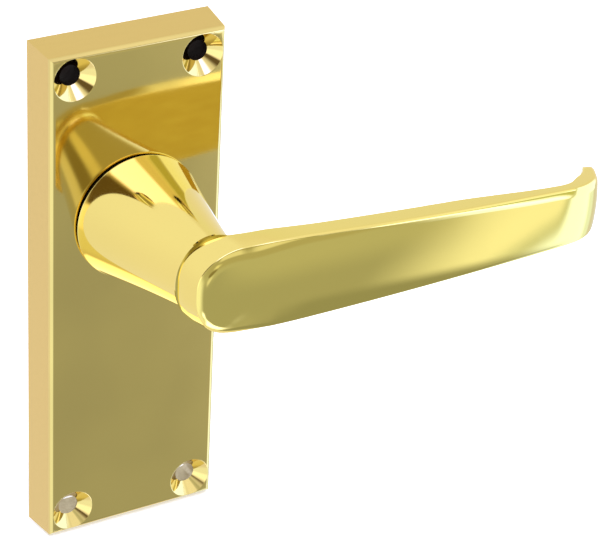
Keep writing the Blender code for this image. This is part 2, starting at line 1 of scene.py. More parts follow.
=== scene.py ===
"""Looks of a sprung door lever handle on a short backplate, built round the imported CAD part.

Shapes are modelled in a frame on the spindle's axis, where x runs along the lever, y is up
and z is the height above the door, and stand_up turns them into the row frame.
"""

import json
import math

import bmesh
import bpy
from mathutils import Matrix, Vector


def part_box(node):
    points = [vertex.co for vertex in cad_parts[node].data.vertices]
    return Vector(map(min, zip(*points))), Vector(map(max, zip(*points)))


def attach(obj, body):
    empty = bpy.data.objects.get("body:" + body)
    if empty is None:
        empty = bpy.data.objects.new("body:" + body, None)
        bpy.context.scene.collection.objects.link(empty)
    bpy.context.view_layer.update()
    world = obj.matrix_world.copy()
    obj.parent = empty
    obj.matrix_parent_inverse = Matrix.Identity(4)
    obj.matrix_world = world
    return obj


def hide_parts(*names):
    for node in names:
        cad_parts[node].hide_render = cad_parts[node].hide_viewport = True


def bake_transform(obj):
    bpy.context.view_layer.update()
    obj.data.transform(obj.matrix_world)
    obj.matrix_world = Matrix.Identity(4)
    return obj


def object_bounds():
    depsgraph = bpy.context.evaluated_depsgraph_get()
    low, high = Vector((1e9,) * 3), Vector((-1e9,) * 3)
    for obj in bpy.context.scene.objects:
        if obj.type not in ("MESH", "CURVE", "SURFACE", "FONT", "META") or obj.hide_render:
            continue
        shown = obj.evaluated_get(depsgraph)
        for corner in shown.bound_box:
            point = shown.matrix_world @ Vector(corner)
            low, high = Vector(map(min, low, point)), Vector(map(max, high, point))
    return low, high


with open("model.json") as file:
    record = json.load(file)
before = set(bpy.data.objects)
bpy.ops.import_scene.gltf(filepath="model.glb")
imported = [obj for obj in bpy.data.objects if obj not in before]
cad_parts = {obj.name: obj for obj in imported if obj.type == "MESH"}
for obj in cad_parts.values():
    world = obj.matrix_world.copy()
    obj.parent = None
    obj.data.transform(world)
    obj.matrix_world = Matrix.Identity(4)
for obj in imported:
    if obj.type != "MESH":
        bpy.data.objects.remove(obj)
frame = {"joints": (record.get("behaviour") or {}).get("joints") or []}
cad_low, cad_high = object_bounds()

MM = 0.001
GAP = 0.3 * MM
OVERRUN = 1.0 * MM
TOUCH = 0.01 * MM
MERGE = 0.002 * MM
# How far past its nominal size a surface is still taken for the surface itself.
SLACK = 1.01
# A wall's normal has less than this along the spindle.
WALL_NORMAL = 0.3


def faces_of(node):
    """A node's lowest and highest height above the door."""
    low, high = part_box(node)
    return -high.y, -low.y


# Backplate, from its box in the CAD part.
plate_low, plate_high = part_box("backplate")
PLATE_HALF_WIDTH = (plate_high.x - plate_low.x) / 2
PLATE_HALF_HEIGHT = (plate_high.z - plate_low.z) / 2
PLATE_CENTRE_Y = (plate_high.z + plate_low.z) / 2
PLATE_DEPTH = -plate_low.y
PLATE_DRAFT = 0.75 * MM
PLATE_EDGE_RADIUS = 1.1 * MM
PLATE_EDGE_STEPS = 10
RIM_WIDTH = 2.2 * MM
FLOOR_HEIGHT = 8.0 * MM
CAVITY_DRAFT = 0.5 * MM
CAVITY_ROUND = 1.0 * MM
CAVITY_ROUND_STEPS = 4
RIB_THICKNESS = 1.6 * MM
RIB_SETBACK = 0.5 * MM
RIB_PLACES = (20.8 * MM, -20.8 * MM, -42.0 * MM)
CAST_ROUND = 0.25 * MM
CAST_ROUND_STEPS = 3

SCREW_SPACING_X = 29.4 * MM
SCREW_SPACING_Y = 106.0 * MM
SCREW_HOLE_RADIUS = 2.3 * MM
SCREW_HEAD_RADIUS = 4.8 * MM
SCREW_BOSS_RADIUS = 5.2 * MM
SCREW_PAD_HEIGHT = 7.0 * MM
HOLE_STEPS = 64
HOLE_LIP = 0.22 * MM
HOLE_LIP_STEPS = 4
CONE_TURN = math.radians(135)

HUB_RADIUS = 10.6 * MM
HUB_END = 5.7 * MM
FLANGE_POCKET_DEPTH = 0.9 * MM
FLANGE_CLEARANCE = 0.2 * MM

# Lever: spigot, neck and blade.
lever_low, lever_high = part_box("lever")
SPIGOT_RADIUS = 7.0 * MM
SPIGOT_END = -lever_high.y
SPIGOT_CHAMFER = 0.4 * MM
SPIGOT_FLATS = 12.4 * MM
FLATS_TOP = 4.9 * MM
SOCKET_WIDTH = 8.1 * MM
SOCKET_DEPTH = 32.0 * MM
GROOVE_RADIUS = 6.4 * MM
GROOVE_LOW = 0.9 * MM
GROOVE_HIGH = 2.1 * MM

NECK_FOOT = PLATE_DEPTH + 0.55 * MM
NECK_FOOT_RADIUS = lever_high.z
NECK_FOOT_ROUND = 0.4 * MM
NECK_FOOT_STEPS = 5
NECK_TOP = 41.0 * MM
NECK_TOP_HALF_X = 6.5 * MM
NECK_TOP_HALF_Y = 8.9 * MM
NECK_TOP_SHIFT = 1.8 * MM
NECK_WAIST = 0.25 * MM
NECK_STEPS = 144
NECK_RINGS = 28
NECK_FILLET = 1.6 * MM
NECK_FILLET_STEPS = 8
NECK_BITE = 0.4 * MM

BLADE_END_STEPS = 40
BLADE_TAPER_STEPS = 110
TIP_CORNER_STEPS = 10
FACE_COLUMNS = 20
BLADE_LEFT = -6.9 * MM
BLADE_END_LENGTH = 12.7 * MM
BLADE_END_POWER = 2.5
BLADE_LOWER_END_POWER = 2.8
BLADE_HALF_HEIGHT = 10.1 * MM
BLADE_TAPER_FROM = 12.0 * MM
BLADE_TAPER = 0.0475
BOW_TOP_X = 82.0 * MM
BOW_TOP_HEIGHT = 50.65 * MM
BOW_RADIUS = 900.0 * MM
EASE_FROM_X = 79.5 * MM
EASE_TURN = 0.06
CURL_FROM_X = 85.1 * MM
CURL_RADIUS = 11.5 * MM
CURL_ANGLE = math.radians(63)
TIP_RUN = 4.0 * MM
TIP_CORNER_RADIUS = 2.0 * MM
CROWN_RADIUS = 45.0 * MM
CROWN_FROM = 5.0 * MM
CROWN_RUN_IN = 10.0 * MM


def edge_row(place, inset, width, turn, radius):
    """A row of an edge's table, from millimetres and degrees."""
    return place * MM, inset * MM, width * MM, math.radians(turn), radius * MM


# The face's edge by its place along the blade: how far the face's corner stands in from the back,
# the width and turn of the roll-off before it, and the corner's radius.
UPPER_EDGE = (
    edge_row(0.0, 1.9, 2.6, 30, 0.45),
    edge_row(13.0, 0.75, 2.4, 34, 0.6),
    edge_row(29.0, 0.1, 1.2, 24, 0.9),
    edge_row(43.0, 0.0, 0.6, 15, 1.0),
    edge_row(60.0, 0.0, 0.7, 20, 1.0),
    edge_row(85.0, 0.0, 1.3, 32, 1.1),
)
LOWER_EDGE = (edge_row(6.0, 0.1, 1.5, 28, 0.5), edge_row(26.0, 0.0, 0.6, 12, 0.35))
# The same round the blunt end, where the outline faces along the blade.
END_EDGE = UPPER_EDGE[0][1:]
WALL_BULGE = 0.35
ROLL_STEPS = 10
FRONT_ROUND_STEPS = 8
BACK_ROUND = 0.35 * MM
BACK_ROUND_STEPS = 5
# The blade's thickness, each after its place.
BLADE_THICKNESS = [
    (x * MM, depth * MM)
    for x, depth in ((-6.9, 7.0), (9, 5.6), (25, 5.1), (55, 5.1), (83, 3.5), (91, 4.5), (101, 3.0))
]
# The blade's back is linished where its normal faces the door at least this squarely.
BACK_NORMAL = -0.75
BACK_FROM = NECK_TOP * 0.9

# The pieces behind the plate.
BUSH_INNER_RADIUS = SPIGOT_RADIUS + 0.25 * MM
BUSH_OUTER_RADIUS = 8.3 * MM
BUSH_FLANGE_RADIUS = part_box("neck_bush")[1].z
WASHER_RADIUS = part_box("thrust_washer")[1].z
MOULD_ROUND = 0.15 * MM
WASHER_ROUND = 0.12 * MM
CORNER_STEPS = 5
CAM_HUB_RADIUS = 10.6 * MM
CAM_HUB_HIGH = 4.8 * MM
CAM_HUB_STEP = 0.1 * MM
CAM_EDGE_ROUND = 0.15 * MM
CAM_ARM_TOP = 3.9 * MM
CAM_ARM_ANGLE = math.radians(138)
CAM_ARM_HALF_WIDTH = 2.6 * MM
CAM_ARM_RADIUS = 16.8 * MM
CAM_ARM_CORNER = 1.0 * MM
CAM_STEPS = 90
KEY_STEPS = 40
CAM_TAB_HALF_WIDTH = 1.0 * MM
CAM_TAB_INNER_RADIUS = 14.0 * MM
LEVER_TRAVEL = math.radians(frame["joints"][0]["range_deg"][1])
STOP_INNER_RADIUS = 13.6 * MM
STOP_OUTER_RADIUS = 17.0 * MM
STOP_WIDTH = 2.8 * MM
STOP_LOW = 2.6 * MM
SPRING_WIRE_RADIUS = 0.7 * MM
SPRING_COIL_RADIUS = 12.1 * MM
SPRING_TURNS = 1.55
SPRING_STEPS_PER_TURN = 90
SPRING_FIXED_HEIGHT = 7.05 * MM
SPRING_MOVING_HEIGHT = 4.8 * MM
SPRING_BEND_RADIUS = 1.95 * MM
SPRING_BEND_STEPS = 10
SPRING_LEG_RADIUS = 16.4 * MM
SPRING_ANCHOR_LOW = 6.2 * MM
SPRING_LEG_CLEARANCE = 0.2 * MM
SPRING_WIRE_STEPS = 6
SPRING_SMOOTH_ANGLE = math.radians(50)
CIRCLIP_STEPS = 120
CIRCLIP_EYE_STEPS = 32
CIRCLIP_INNER_RADIUS = 6.65 * MM
CIRCLIP_OUTER_RADIUS = 8.5 * MM
CIRCLIP_OFFSET = 0.25 * MM
CIRCLIP_GAP_ANGLE = math.radians(13)
CIRCLIP_EAR_ANGLE = math.radians(17)
CIRCLIP_EAR_RADIUS = 9.7 * MM
CIRCLIP_EYE_RADIUS = 0.6 * MM
CIRCLIP_EDGE_ROUND = 0.08 * MM

ROUND_STEPS = 128
ARC_STEPS = 6
EDGE_STEPS = 3
CENTRE = (0.0, 0.0)
DOWN = -math.pi / 2
RIGHT_ANGLE = math.pi / 2
SMOOTH_ANGLE = math.radians(30)
NORMAL_WEIGHT = 90


# Meshes


def stand_up(mesh):
    """Turn a mesh from the spindle's frame into the row frame."""
    mesh.transform(Matrix.Rotation(math.radians(90), 4, "X"))


def add_object(name, mesh):
    obj = bpy.data.objects.new(name, mesh)
    bpy.context.scene.collection.objects.link(obj)
    return obj


def add_shape(name, shape):
    """An object from a bmesh, which is freed."""
    mesh = bpy.data.meshes.new(name)
    shape.to_mesh(mesh)
    shape.free()
    return add_object(name, mesh)


def clean(mesh, merge=False):
    """Turn a closed mesh's faces outwards, with its doubled points merged first if asked."""
    shape = bmesh.new()
    shape.from_mesh(mesh)
    if merge:
        bmesh.ops.remove_doubles(shape, verts=shape.verts, dist=MERGE)
    bmesh.ops.recalc_face_normals(shape, faces=shape.faces)
    shape.to_mesh(mesh)
    shape.free()


def add_solid(name, points, faces):
    """A closed mesh object with its faces turned outwards."""
    mesh = bpy.data.meshes.new(name)
    mesh.from_pydata(points, [], faces)
    clean(mesh)
    return add_object(name, mesh)


def add_loft(name, rings, looped=False):
    """A skin through rings of points, capped at its ends or joined end to end."""
    count = len(rings[0])
    points = [point for ring in rings for point in ring]
    faces = []
    for ring in range(len(rings) if looped else len(rings) - 1):
        start = ring * count
        after = (ring + 1) % len(rings) * count
        for i in range(count):
            j = (i + 1) % count
            faces.append((start + i, start + j, after + j, after + i))
    if not looped:
        faces.append(tuple(range(count)))
        faces.append(tuple(range(len(points) - count, len(points))))
    return add_solid(name, points, faces)


def polar(radius, angle):
    return radius * math.cos(angle), radius * math.sin(angle)


def turned(points, angle):
    """Points turned about the spindle."""
    c, s = polar(1.0, angle)
    return [(x * c - y * s, x * s + y * c) for x, y in points]


def arc(centre, radius, start, end, steps):
    """Points on an arc, ends included."""
    points = []
    for i in range(steps + 1):
        x, y = polar(radius, start + (end - start) * i / steps)
        points.append((centre[0] + x, centre[1] + y))
    return points


def round_corners(outline, radius):
    """A closed outline with an arc in place of each corner."""
    rounded = []
    for i, corner in enumerate(outline):
        here = Vector(corner)
        before = (Vector(outline[i - 1]) - here).normalized()
        after = (Vector(outline[(i + 1) % len(outline)]) - here).normalized()
        half = before.angle(after) / 2
        centre = here + (before + after).normalized() * radius / math.sin(half)
        first = here + before * radius / math.tan(half) - centre
        last = here + after * radius / math.tan(half) - centre
        start = math.atan2(first.y, first.x)
        turn = math.atan2(first.x * last.y - first.y * last.x, first.dot(last))
        rounded += arc(centre, radius, start, start + turn, CORNER_STEPS)
    return rounded


def add_turned(name, outline):
    """A solid of revolution about z from a closed outline of (radius, height) points."""
    rings = []
    for i in range(ROUND_STEPS):
        c, s = polar(1.0, math.tau * i / ROUND_STEPS)
        rings.append([(r * c, r * s, height) for r, height in outline])
    return add_loft(name, rings, looped=True)


def add_round(name, profile, steps=ROUND_STEPS, centre=CENTRE):
    """A round solid with flat ends, from (radius, height) points along its side."""
    rings = []
    for radius, height in profile:
        places = [polar(radius, math.tau * i / steps) for i in range(steps)]
        rings.append([(centre[0] + x, centre[1] + y, height) for x, y in places])
    return add_loft(name, rings)


def add_block(name, low, high, angle=0.0, corner=0.0):
    """A box between two corners with its eight corners blunted, turned about the spindle."""
    shape = bmesh.new()
    bmesh.ops.create_cube(shape, size=1.0)
    for vert in shape.verts:
        for axis in range(3):
            middle = (low[axis] + high[axis]) / 2
            half = (high[axis] - low[axis]) / 2
            vert.co[axis] = middle + math.copysign(half, vert.co[axis])
    if corner:
        bmesh.ops.bevel(
            shape, geom=shape.edges[:], offset=corner, segments=CAST_ROUND_STEPS, profile=0.5
        )
    bmesh.ops.rotate(shape, verts=shape.verts, matrix=Matrix.Rotation(angle, 3, "Z"))
    return add_shape(name, shape)


def add_flat(name, outlines, low, high, round_radius=0.0):
    """A flat piece from closed outlines between two heights, with its edges rounded."""
    curve = bpy.data.curves.new(name, "CURVE")
    curve.dimensions = "2D"
    curve.fill_mode = "BOTH"
    curve.extrude = (high - low) / 2 - round_radius
    curve.bevel_depth = round_radius
    curve.bevel_resolution = EDGE_STEPS
    curve.offset = -round_radius
    for outline in outlines:
        add_spline(curve, [(x, y, 0.0) for x, y in outline], closed=True)
    mesh = mesh_of(add_object(name, curve))
    mesh.transform(Matrix.Translation((0.0, 0.0, (low + high) / 2)))
    clean(mesh, merge=True)
    return add_object(name, mesh)


def add_spline(curve, path, closed=False):
    """Add straight pieces through the path's points to a curve."""
    spline = curve.splines.new("POLY")
    spline.points.add(len(path) - 1)
    for point, place in zip(spline.points, path):
        point.co = (*place, 1.0)
    spline.use_cyclic_u = closed


def mesh_of(obj):
    """The object's mesh with its modifiers applied. The object is removed."""
    graph = bpy.context.evaluated_depsgraph_get()
    mesh = bpy.data.meshes.new_from_object(obj.evaluated_get(graph))
    mesh.name = obj.name
    bpy.data.objects.remove(obj, do_unlink=True)
    return mesh


def combine(name, target, steps):
    """Join and cut a solid with others, given as (operation, [solids]), and return the result."""
    tools = [(operation, solid) for operation, solids in steps for solid in solids]
    for operation, solid in tools:
        modifier = target.modifiers.new(solid.name, "BOOLEAN")
        modifier.operation = operation
        modifier.solver = "EXACT"
        modifier.object = solid
    mesh = mesh_of(target)
    for _, solid in tools:
        bpy.data.objects.remove(solid, do_unlink=True)
    return add_object(name, mesh)


def dress(mesh, materials, smooth_angle, choose=None):
    """Give a mesh its materials and smooth shading, and stand it up."""
    mesh.materials.clear()
    for material in materials:
        mesh.materials.append(material)
    for face in mesh.polygons:
        face.material_index = choose(face.center, face.normal) if choose else 0
    mesh.shade_smooth()
    mesh.set_sharp_from_angle(angle=smooth_angle)
    stand_up(mesh)


def finish_piece(obj, body, node, materials, choose=None):
    """Dress a piece, hang it on its body and let it stand for its node."""
    dress(obj.data, materials, SMOOTH_ANGLE, choose)
    weighted = obj.modifiers.new("weighted_normals", "WEIGHTED_NORMAL")
    weighted.keep_sharp = True
    weighted.weight = NORMAL_WEIGHT
    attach(obj, body)
    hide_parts(node)


# Backplate


def plate_block(name, half_low, draft, low, high, corner, steps, reach):
    """A drafted block centred on the plate. Its edges that reach the upper half are rounded."""
    shape = bmesh.new()
    bmesh.ops.create_cube(shape, size=2.0)
    for vert in shape.verts:
        upper = vert.co.z > 0
        inset = draft if upper else 0.0
        x = vert.co.x * (half_low[0] - inset)
        y = vert.co.y * (half_low[1] - inset) + PLATE_CENTRE_Y
        vert.co = (x, y, high if upper else low)
    edges = [e for e in shape.edges if reach(v.co.z for v in e.verts) > high / 2]
    bmesh.ops.bevel(
        shape, geom=edges, offset=corner, segments=steps, profile=0.5, affect="EDGES"
    )
    return add_shape(name, shape)


def plate_body():
    half = (PLATE_HALF_WIDTH, PLATE_HALF_HEIGHT)
    rounding = (PLATE_EDGE_RADIUS, PLATE_EDGE_STEPS, min)
    return plate_block("plate_body", half, PLATE_DRAFT, 0.0, PLATE_DEPTH, *rounding)


def plate_cavity():
    half = (PLATE_HALF_WIDTH - RIM_WIDTH, PLATE_HALF_HEIGHT - RIM_WIDTH)
    rounding = (CAVITY_ROUND, CAVITY_ROUND_STEPS, max)
    return plate_block("cavity", half, CAVITY_DRAFT, -OVERRUN, FLOOR_HEIGHT, *rounding)


def screw_places():
    """The four screw holes' centres, with True for the upper pair."""
    for upper, side_y in ((True, 1), (False, -1)):
        for side_x in (-1, 1):
            x = side_x * SCREW_SPACING_X / 2
            y = PLATE_CENTRE_Y + side_y * SCREW_SPACING_Y / 2
            yield x, y, upper


def plate_additions():
    """Hub, ribs, screw bosses, stops and spring anchor on the floor of the hollow."""
    inside_floor = FLOOR_HEIGHT + OVERRUN / 2
    lip = CAST_ROUND
    hub_side = [
        (HUB_RADIUS - lip, HUB_END),
        (HUB_RADIUS, HUB_END + lip),
        (HUB_RADIUS, FLOOR_HEIGHT - 2 * lip),
        (HUB_RADIUS + lip, FLOOR_HEIGHT - lip / 2),
        (HUB_RADIUS + 2 * lip, inside_floor),
    ]
    tools = [add_round("hub", hub_side)]
    wall_x = PLATE_HALF_WIDTH - RIM_WIDTH / 2 - CAVITY_DRAFT
    for i, place in enumerate(RIB_PLACES):
        low = (-wall_x, place - RIB_THICKNESS / 2, RIB_SETBACK)
        high = (wall_x, place + RIB_THICKNESS / 2, inside_floor)
        tools.append(add_block(f"rib_{i}", low, high, 0.0, CAST_ROUND))
    for i, (x, y, upper) in enumerate(screw_places()):
        low = 0.0 if upper else SCREW_PAD_HEIGHT
        side = [
            (SCREW_BOSS_RADIUS - lip, low),
            (SCREW_BOSS_RADIUS, low + lip),
            (SCREW_BOSS_RADIUS, inside_floor),
        ]
        tools.append(add_round(f"boss_{i}", side, HOLE_STEPS, (x, y)))

    near = CAM_ARM_HALF_WIDTH + GAP
    leg = SPRING_BEND_RADIUS - SPRING_WIRE_RADIUS - SPRING_LEG_CLEARANCE
    for name, side, end, angle in (
        ("rest_stop", near, STOP_LOW, CAM_ARM_ANGLE),
        ("end_stop", -near - STOP_WIDTH, STOP_LOW, CAM_ARM_ANGLE - LEVER_TRAVEL),
        ("spring_anchor", leg - STOP_WIDTH, SPRING_ANCHOR_LOW, spring_fixed_angle()),
    ):
        low = (STOP_INNER_RADIUS, side, end)
        high = (STOP_OUTER_RADIUS, side + STOP_WIDTH, inside_floor)
        tools.append(add_block(name, low, high, angle, CAST_ROUND))
    return tools


def plate_holes():
    """The bush's bore, the pocket for its flange and the countersunk screw holes, with soft lips."""
    bore = BUSH_OUTER_RADIUS + GAP
    pocket = BUSH_FLANGE_RADIUS + GAP
    pocket_floor = PLATE_DEPTH - FLANGE_POCKET_DEPTH
    above = PLATE_DEPTH + OVERRUN
    lip = HOLE_LIP
    pocket_side = [(bore, HUB_END - OVERRUN), (bore, pocket_floor), (pocket, pocket_floor)]
    pocket_side += hole_lip(pocket + lip, math.pi)
    pocket_side += [(pocket + lip, above)]
    tools = [add_round("pocket", pocket_side)]

    cone = SCREW_HEAD_RADIUS - SCREW_HOLE_RADIUS
    drop = lip * (1 - math.cos(math.pi - CONE_TURN))
    lip_radius = SCREW_HEAD_RADIUS - drop + lip * math.sin(math.pi - CONE_TURN)
    for i, (x, y, _) in enumerate(screw_places()):
        side = [(SCREW_HOLE_RADIUS, -OVERRUN), (SCREW_HOLE_RADIUS, PLATE_DEPTH - cone)]
        side += hole_lip(lip_radius, CONE_TURN)
        side += [(lip_radius, above)]
        tools.append(add_round(f"screw_hole_{i}", side, HOLE_STEPS, (x, y)))
    return tools


def hole_lip(radius, turn):
    """The rounded lip of a hole, from its wall to the plate's face."""
    return arc((radius, PLATE_DEPTH - HOLE_LIP), HOLE_LIP, turn, RIGHT_ANGLE, HOLE_LIP_STEPS)


def build_backplate(materials):
    steps = [
        ("DIFFERENCE", [plate_cavity()]),
        ("UNION", plate_additions()),
        ("DIFFERENCE", plate_holes()),
    ]
    plate = combine("backplate_casting", plate_body(), steps)
    inner_x = PLATE_HALF_WIDTH - RIM_WIDTH - TOUCH
    inner_y = PLATE_HALF_HEIGHT - RIM_WIDTH - TOUCH
    bores = list(screw_places())

    def choose(centre, normal):
        """Polished face, cast hollow, upper screw bores in near-black painted shade, ground back rim
        and satin walls.
        """
        wall = abs(normal.z) < WALL_NORMAL
        for x, y, upper in bores:
            if wall and math.hypot(centre.x - x, centre.y - y) < SCREW_HOLE_RADIUS * SLACK:
                # Upper bores get the near-black painted shade material; lower bores stay cast brass.
                return 2 if upper else 1
        if centre.z < TOUCH:
            return 3
        inside = abs(centre.x) < inner_x and abs(centre.y - PLATE_CENTRE_Y) < inner_y
        if inside and centre.z < FLOOR_HEIGHT + TOUCH:
            return 1
        if wall and centre.z < PLATE_DEPTH - PLATE_EDGE_RADIUS * SLACK:
            return 4
        return 0

    finish_piece(plate, "backplate", "backplate", materials, choose)


# Lever


def smooth_between(table, value):
    """Read a table of (place, size) with smooth steps between its entries."""
    for (start, first), (end, second) in zip(table, table[1:]):
        if value <= end:
            share = max(0.0, (value - start) / (end - start))
            return first + (second - first) * share * share * (3 - 2 * share)
    return table[-1][1]


def blade_length():
    """Length along the blade's face, round the curl."""
    return CURL_FROM_X - BLADE_LEFT + CURL_RADIUS * (CURL_ANGLE - EASE_TURN) + TIP_RUN


def blade_frame(place):
    """Where the face's edge lies at a place along the blade, and its heading to the door."""
    x = BLADE_LEFT + place
    eased = CURL_FROM_X - EASE_FROM_X
    if x <= CURL_FROM_X:
        away = BOW_TOP_X - min(x, BOW_TOP_X)
        share = max(0.0, x - EASE_FROM_X) / eased
        height = BOW_TOP_HEIGHT - away * away / (2 * BOW_RADIUS) - EASE_TURN * eased * share**3 / 3
        return x, height, EASE_TURN * share * share - away / BOW_RADIUS
    turn = min(EASE_TURN + (x - CURL_FROM_X) / CURL_RADIUS, CURL_ANGLE)
    run = x - CURL_FROM_X - CURL_RADIUS * (turn - EASE_TURN)
    across = CURL_RADIUS * (math.sin(turn) - math.sin(EASE_TURN))
    drop = CURL_RADIUS * (math.cos(EASE_TURN) - math.cos(turn)) + EASE_TURN * eased / 3
    along = CURL_FROM_X + across + run * math.cos(turn)
    return along, BOW_TOP_HEIGHT - drop - run * math.sin(turn), turn


def blade_point(place, up, below):
    """A point of the blade from its place along, its height up and its depth under the face."""
    x, height, heading = blade_frame(place)
    return x - below * math.sin(heading), up, height - below * math.cos(heading)


def blade_outline(end_power):
    """One edge of the blade as (place, half height), from the round end to the tip."""
    outline = []
    for i in range(BLADE_END_STEPS + 1):
        turn = RIGHT_ANGLE * i / BLADE_END_STEPS
        place = BLADE_END_LENGTH * (1 - math.cos(turn) ** (2 / end_power))
        outline.append((place, BLADE_HALF_HEIGHT * math.sin(turn) ** (2 / end_power)))
    end = blade_length()
    taper_from = BLADE_TAPER_FROM - BLADE_LEFT
    tip_half = BLADE_HALF_HEIGHT - BLADE_TAPER * (end - taper_from)
    last = end - TIP_CORNER_RADIUS
    for i in range(1, BLADE_TAPER_STEPS + 1):
        place = BLADE_END_LENGTH + (last - BLADE_END_LENGTH) * i / BLADE_TAPER_STEPS
        half = BLADE_HALF_HEIGHT - BLADE_TAPER * max(0.0, place - taper_from)
        outline.append((place, half))
    corner = (last, tip_half - TIP_CORNER_RADIUS)
    outline += arc(corner, TIP_CORNER_RADIUS, RIGHT_ANGLE, 0.0, TIP_CORNER_STEPS)[1:]
    outline.append((end, 0.0))
    return outline


def inward_normals(outline):
    """Unit steps into the blade from each point of its outline, level at its two ends."""
    normals = []
    for i in range(len(outline)):
        before = outline[i - 1] if i > 0 else (outline[1][0], -outline[1][1])
        after = outline[i + 1] if i + 1 < len(outline) else (outline[-2][0], -outline[-2][1])
        step = (after[0] - before[0], after[1] - before[1])
        length = math.hypot(*step)
        normals.append((step[1] / length, -step[0] / length))
    return normals


def crown_slope(place, half):
    """How steeply the crowned face falls at its edge."""
    run_in = min(1.0, max(0.0, (place - CROWN_FROM) / CROWN_RUN_IN))
    return half / CROWN_RADIUS * math.sin(RIGHT_ANGLE * run_in)


def crown(place, up, half):
    """How far the face stands proud of its edge."""
    return crown_slope(place, half) * (half - up * up / half) / 2 if half else 0.0


def blade_thickness(place):
    return smooth_between(BLADE_THICKNESS, BLADE_LEFT + place)


def edge_sizes(edge, place, endward):
    """A row of the edge's table read at a place, blended to the round end's own row."""
    places, *columns = zip(*edge)
    for column, end in zip(columns, END_EDGE):
        side = smooth_between(list(zip(places, column)), place)
        yield smooth_between([(0.0, side), (1.0, end)], endward)


def edge_profile(edge, place, half, endward, uphill):
    """(distance in from the outline, depth under the face) from the face to the back."""
    inset, width, turn, radius = edge_sizes(edge, place, endward)
    slope = crown_slope(place, half) * uphill
    gain = (math.tan(turn) - slope) / (2 * width)
    inner = inset + radius * (1 - math.sin(turn)) + width
    profile = []
    for i in range(ROLL_STEPS):
        run = width * i / ROLL_STEPS
        profile.append((inner - run, slope * run + gain * run * run))
    wall_top = slope * width + gain * width * width + radius * math.cos(turn)
    for i in range(FRONT_ROUND_STEPS + 1):
        angle = turn + (RIGHT_ANGLE - turn) * i / FRONT_ROUND_STEPS
        inwards = inset + radius * (1 - math.sin(angle))
        profile.append((inwards, wall_top - radius * math.cos(angle)))
    wall_end = blade_thickness(place) - BACK_ROUND
    profile.append((inset * WALL_BULGE, (wall_top + wall_end) / 2))
    for i in range(BACK_ROUND_STEPS + 1):
        angle = RIGHT_ANGLE * i / BACK_ROUND_STEPS
        inwards = BACK_ROUND * (1 - math.cos(angle))
        profile.append((inwards, wall_end + BACK_ROUND * math.sin(angle)))
    return profile


def blade_rings(end_power, edge):
    """Half rings of (place, half height, depth under the face), from face to back."""
    outline = blade_outline(end_power)
    lines = []
    for (place, half), (along, up) in zip(outline, inward_normals(outline)):
        profile = edge_profile(edge, place, half, max(0.0, along), abs(up))
        lines.append([(place + along * inset, half + up * inset, depth) for inset, depth in profile])
    return [list(ring) for ring in zip(*lines)]


def add_blade():
    """A loft: rings round the outline, closed by a crowned face and a plain back."""
    uppers = blade_rings(BLADE_END_POWER, UPPER_EDGE)
    lowers = blade_rings(BLADE_LOWER_END_POWER, LOWER_EDGE)
    count = len(uppers[0])
    around = 2 * count - 2
    points = []
    for upper, lower in zip(uppers, lowers):
        points += [blade_point(p, h, below) for p, h, below in upper]
        points += [blade_point(p, -h, below) for p, h, below in reversed(lower[1:-1])]
    faces = []
    for ring in range(len(uppers) - 1):
        for i in range(around):
            start = ring * around
            after = (i + 1) % around
            faces.append((start + i, start + after, start + around + after, start + around + i))

    def close(ring_index, rise):
        """Fill inside a ring with rows of quads from its upper to its lower half."""
        start = ring_index * around
        rows = []
        for i, (upper, lower) in enumerate(zip(uppers[ring_index], lowers[ring_index])):
            if i in (0, count - 1):
                rows.append([start + i] * (FACE_COLUMNS + 1))
                continue
            row = [start + i]
            middle = (upper[1] - lower[1]) / 2
            half = (upper[1] + lower[1]) / 2
            for j in range(1, FACE_COLUMNS):
                share = j / FACE_COLUMNS
                place = upper[0] + (lower[0] - upper[0]) * share
                below = upper[2] + (lower[2] - upper[2]) * share
                up = half * (1 - 2 * share)
                row.append(len(points))
                points.append(blade_point(place, up + middle, below - rise(place, up, half)))
            row.append(start + around - i)
            rows.append(row)
        for first, second in zip(rows, rows[1:]):
            for j in range(FACE_COLUMNS):
                corners = (first[j], first[j + 1], second[j + 1], second[j])
                faces.append(tuple(dict.fromkeys(corners)))

    close(0, crown)
    close(len(uppers) - 1, lambda place, up, half: 0.0)
    return add_solid("blade", points, faces)


def neck_ring(height):
    """Centre and half sizes of the neck at a height above the door."""
    share = (height - NECK_FOOT) / (NECK_TOP - NECK_FOOT)
    waist = NECK_WAIST * math.sin(math.pi * min(1.0, share))
    half_x = NECK_FOOT_RADIUS + (NECK_TOP_HALF_X - NECK_FOOT_RADIUS) * share - waist
    half_y = NECK_FOOT_RADIUS + (NECK_TOP_HALF_Y - NECK_FOOT_RADIUS) * share - waist
    return NECK_TOP_SHIFT * share, half_x, half_y


def back_height(x):
    """Height above the door of the blade's back at a place along it."""
    place = x - BLADE_LEFT
    return blade_point(place, 0.0, blade_thickness(place))[2]


def neck_line(angle):
    """One line up the neck's side: points from the foot to inside the blade, flared at the top."""
    c, s = polar(1.0, angle)
    low = NECK_FOOT + NECK_FOOT_ROUND
    high = back_height(NECK_TOP_SHIFT + NECK_TOP_HALF_X * c) - NECK_FILLET
    steps = [(low + (high - low) * i / NECK_RINGS, 0.0) for i in range(NECK_RINGS + 1)]
    for i in range(1, NECK_FILLET_STEPS + 1):
        turn = RIGHT_ANGLE * i / NECK_FILLET_STEPS
        steps.append((high + NECK_FILLET * math.sin(turn), NECK_FILLET * (1 - math.cos(turn))))
    line = []
    for height, out in steps:
        centre, half_x, half_y = neck_ring(height)
        line.append((centre + (half_x + out) * c, (half_y + out) * s, height))
    last = line[-1]
    line.append((last[0], last[1], last[2] + NECK_BITE))
    return line


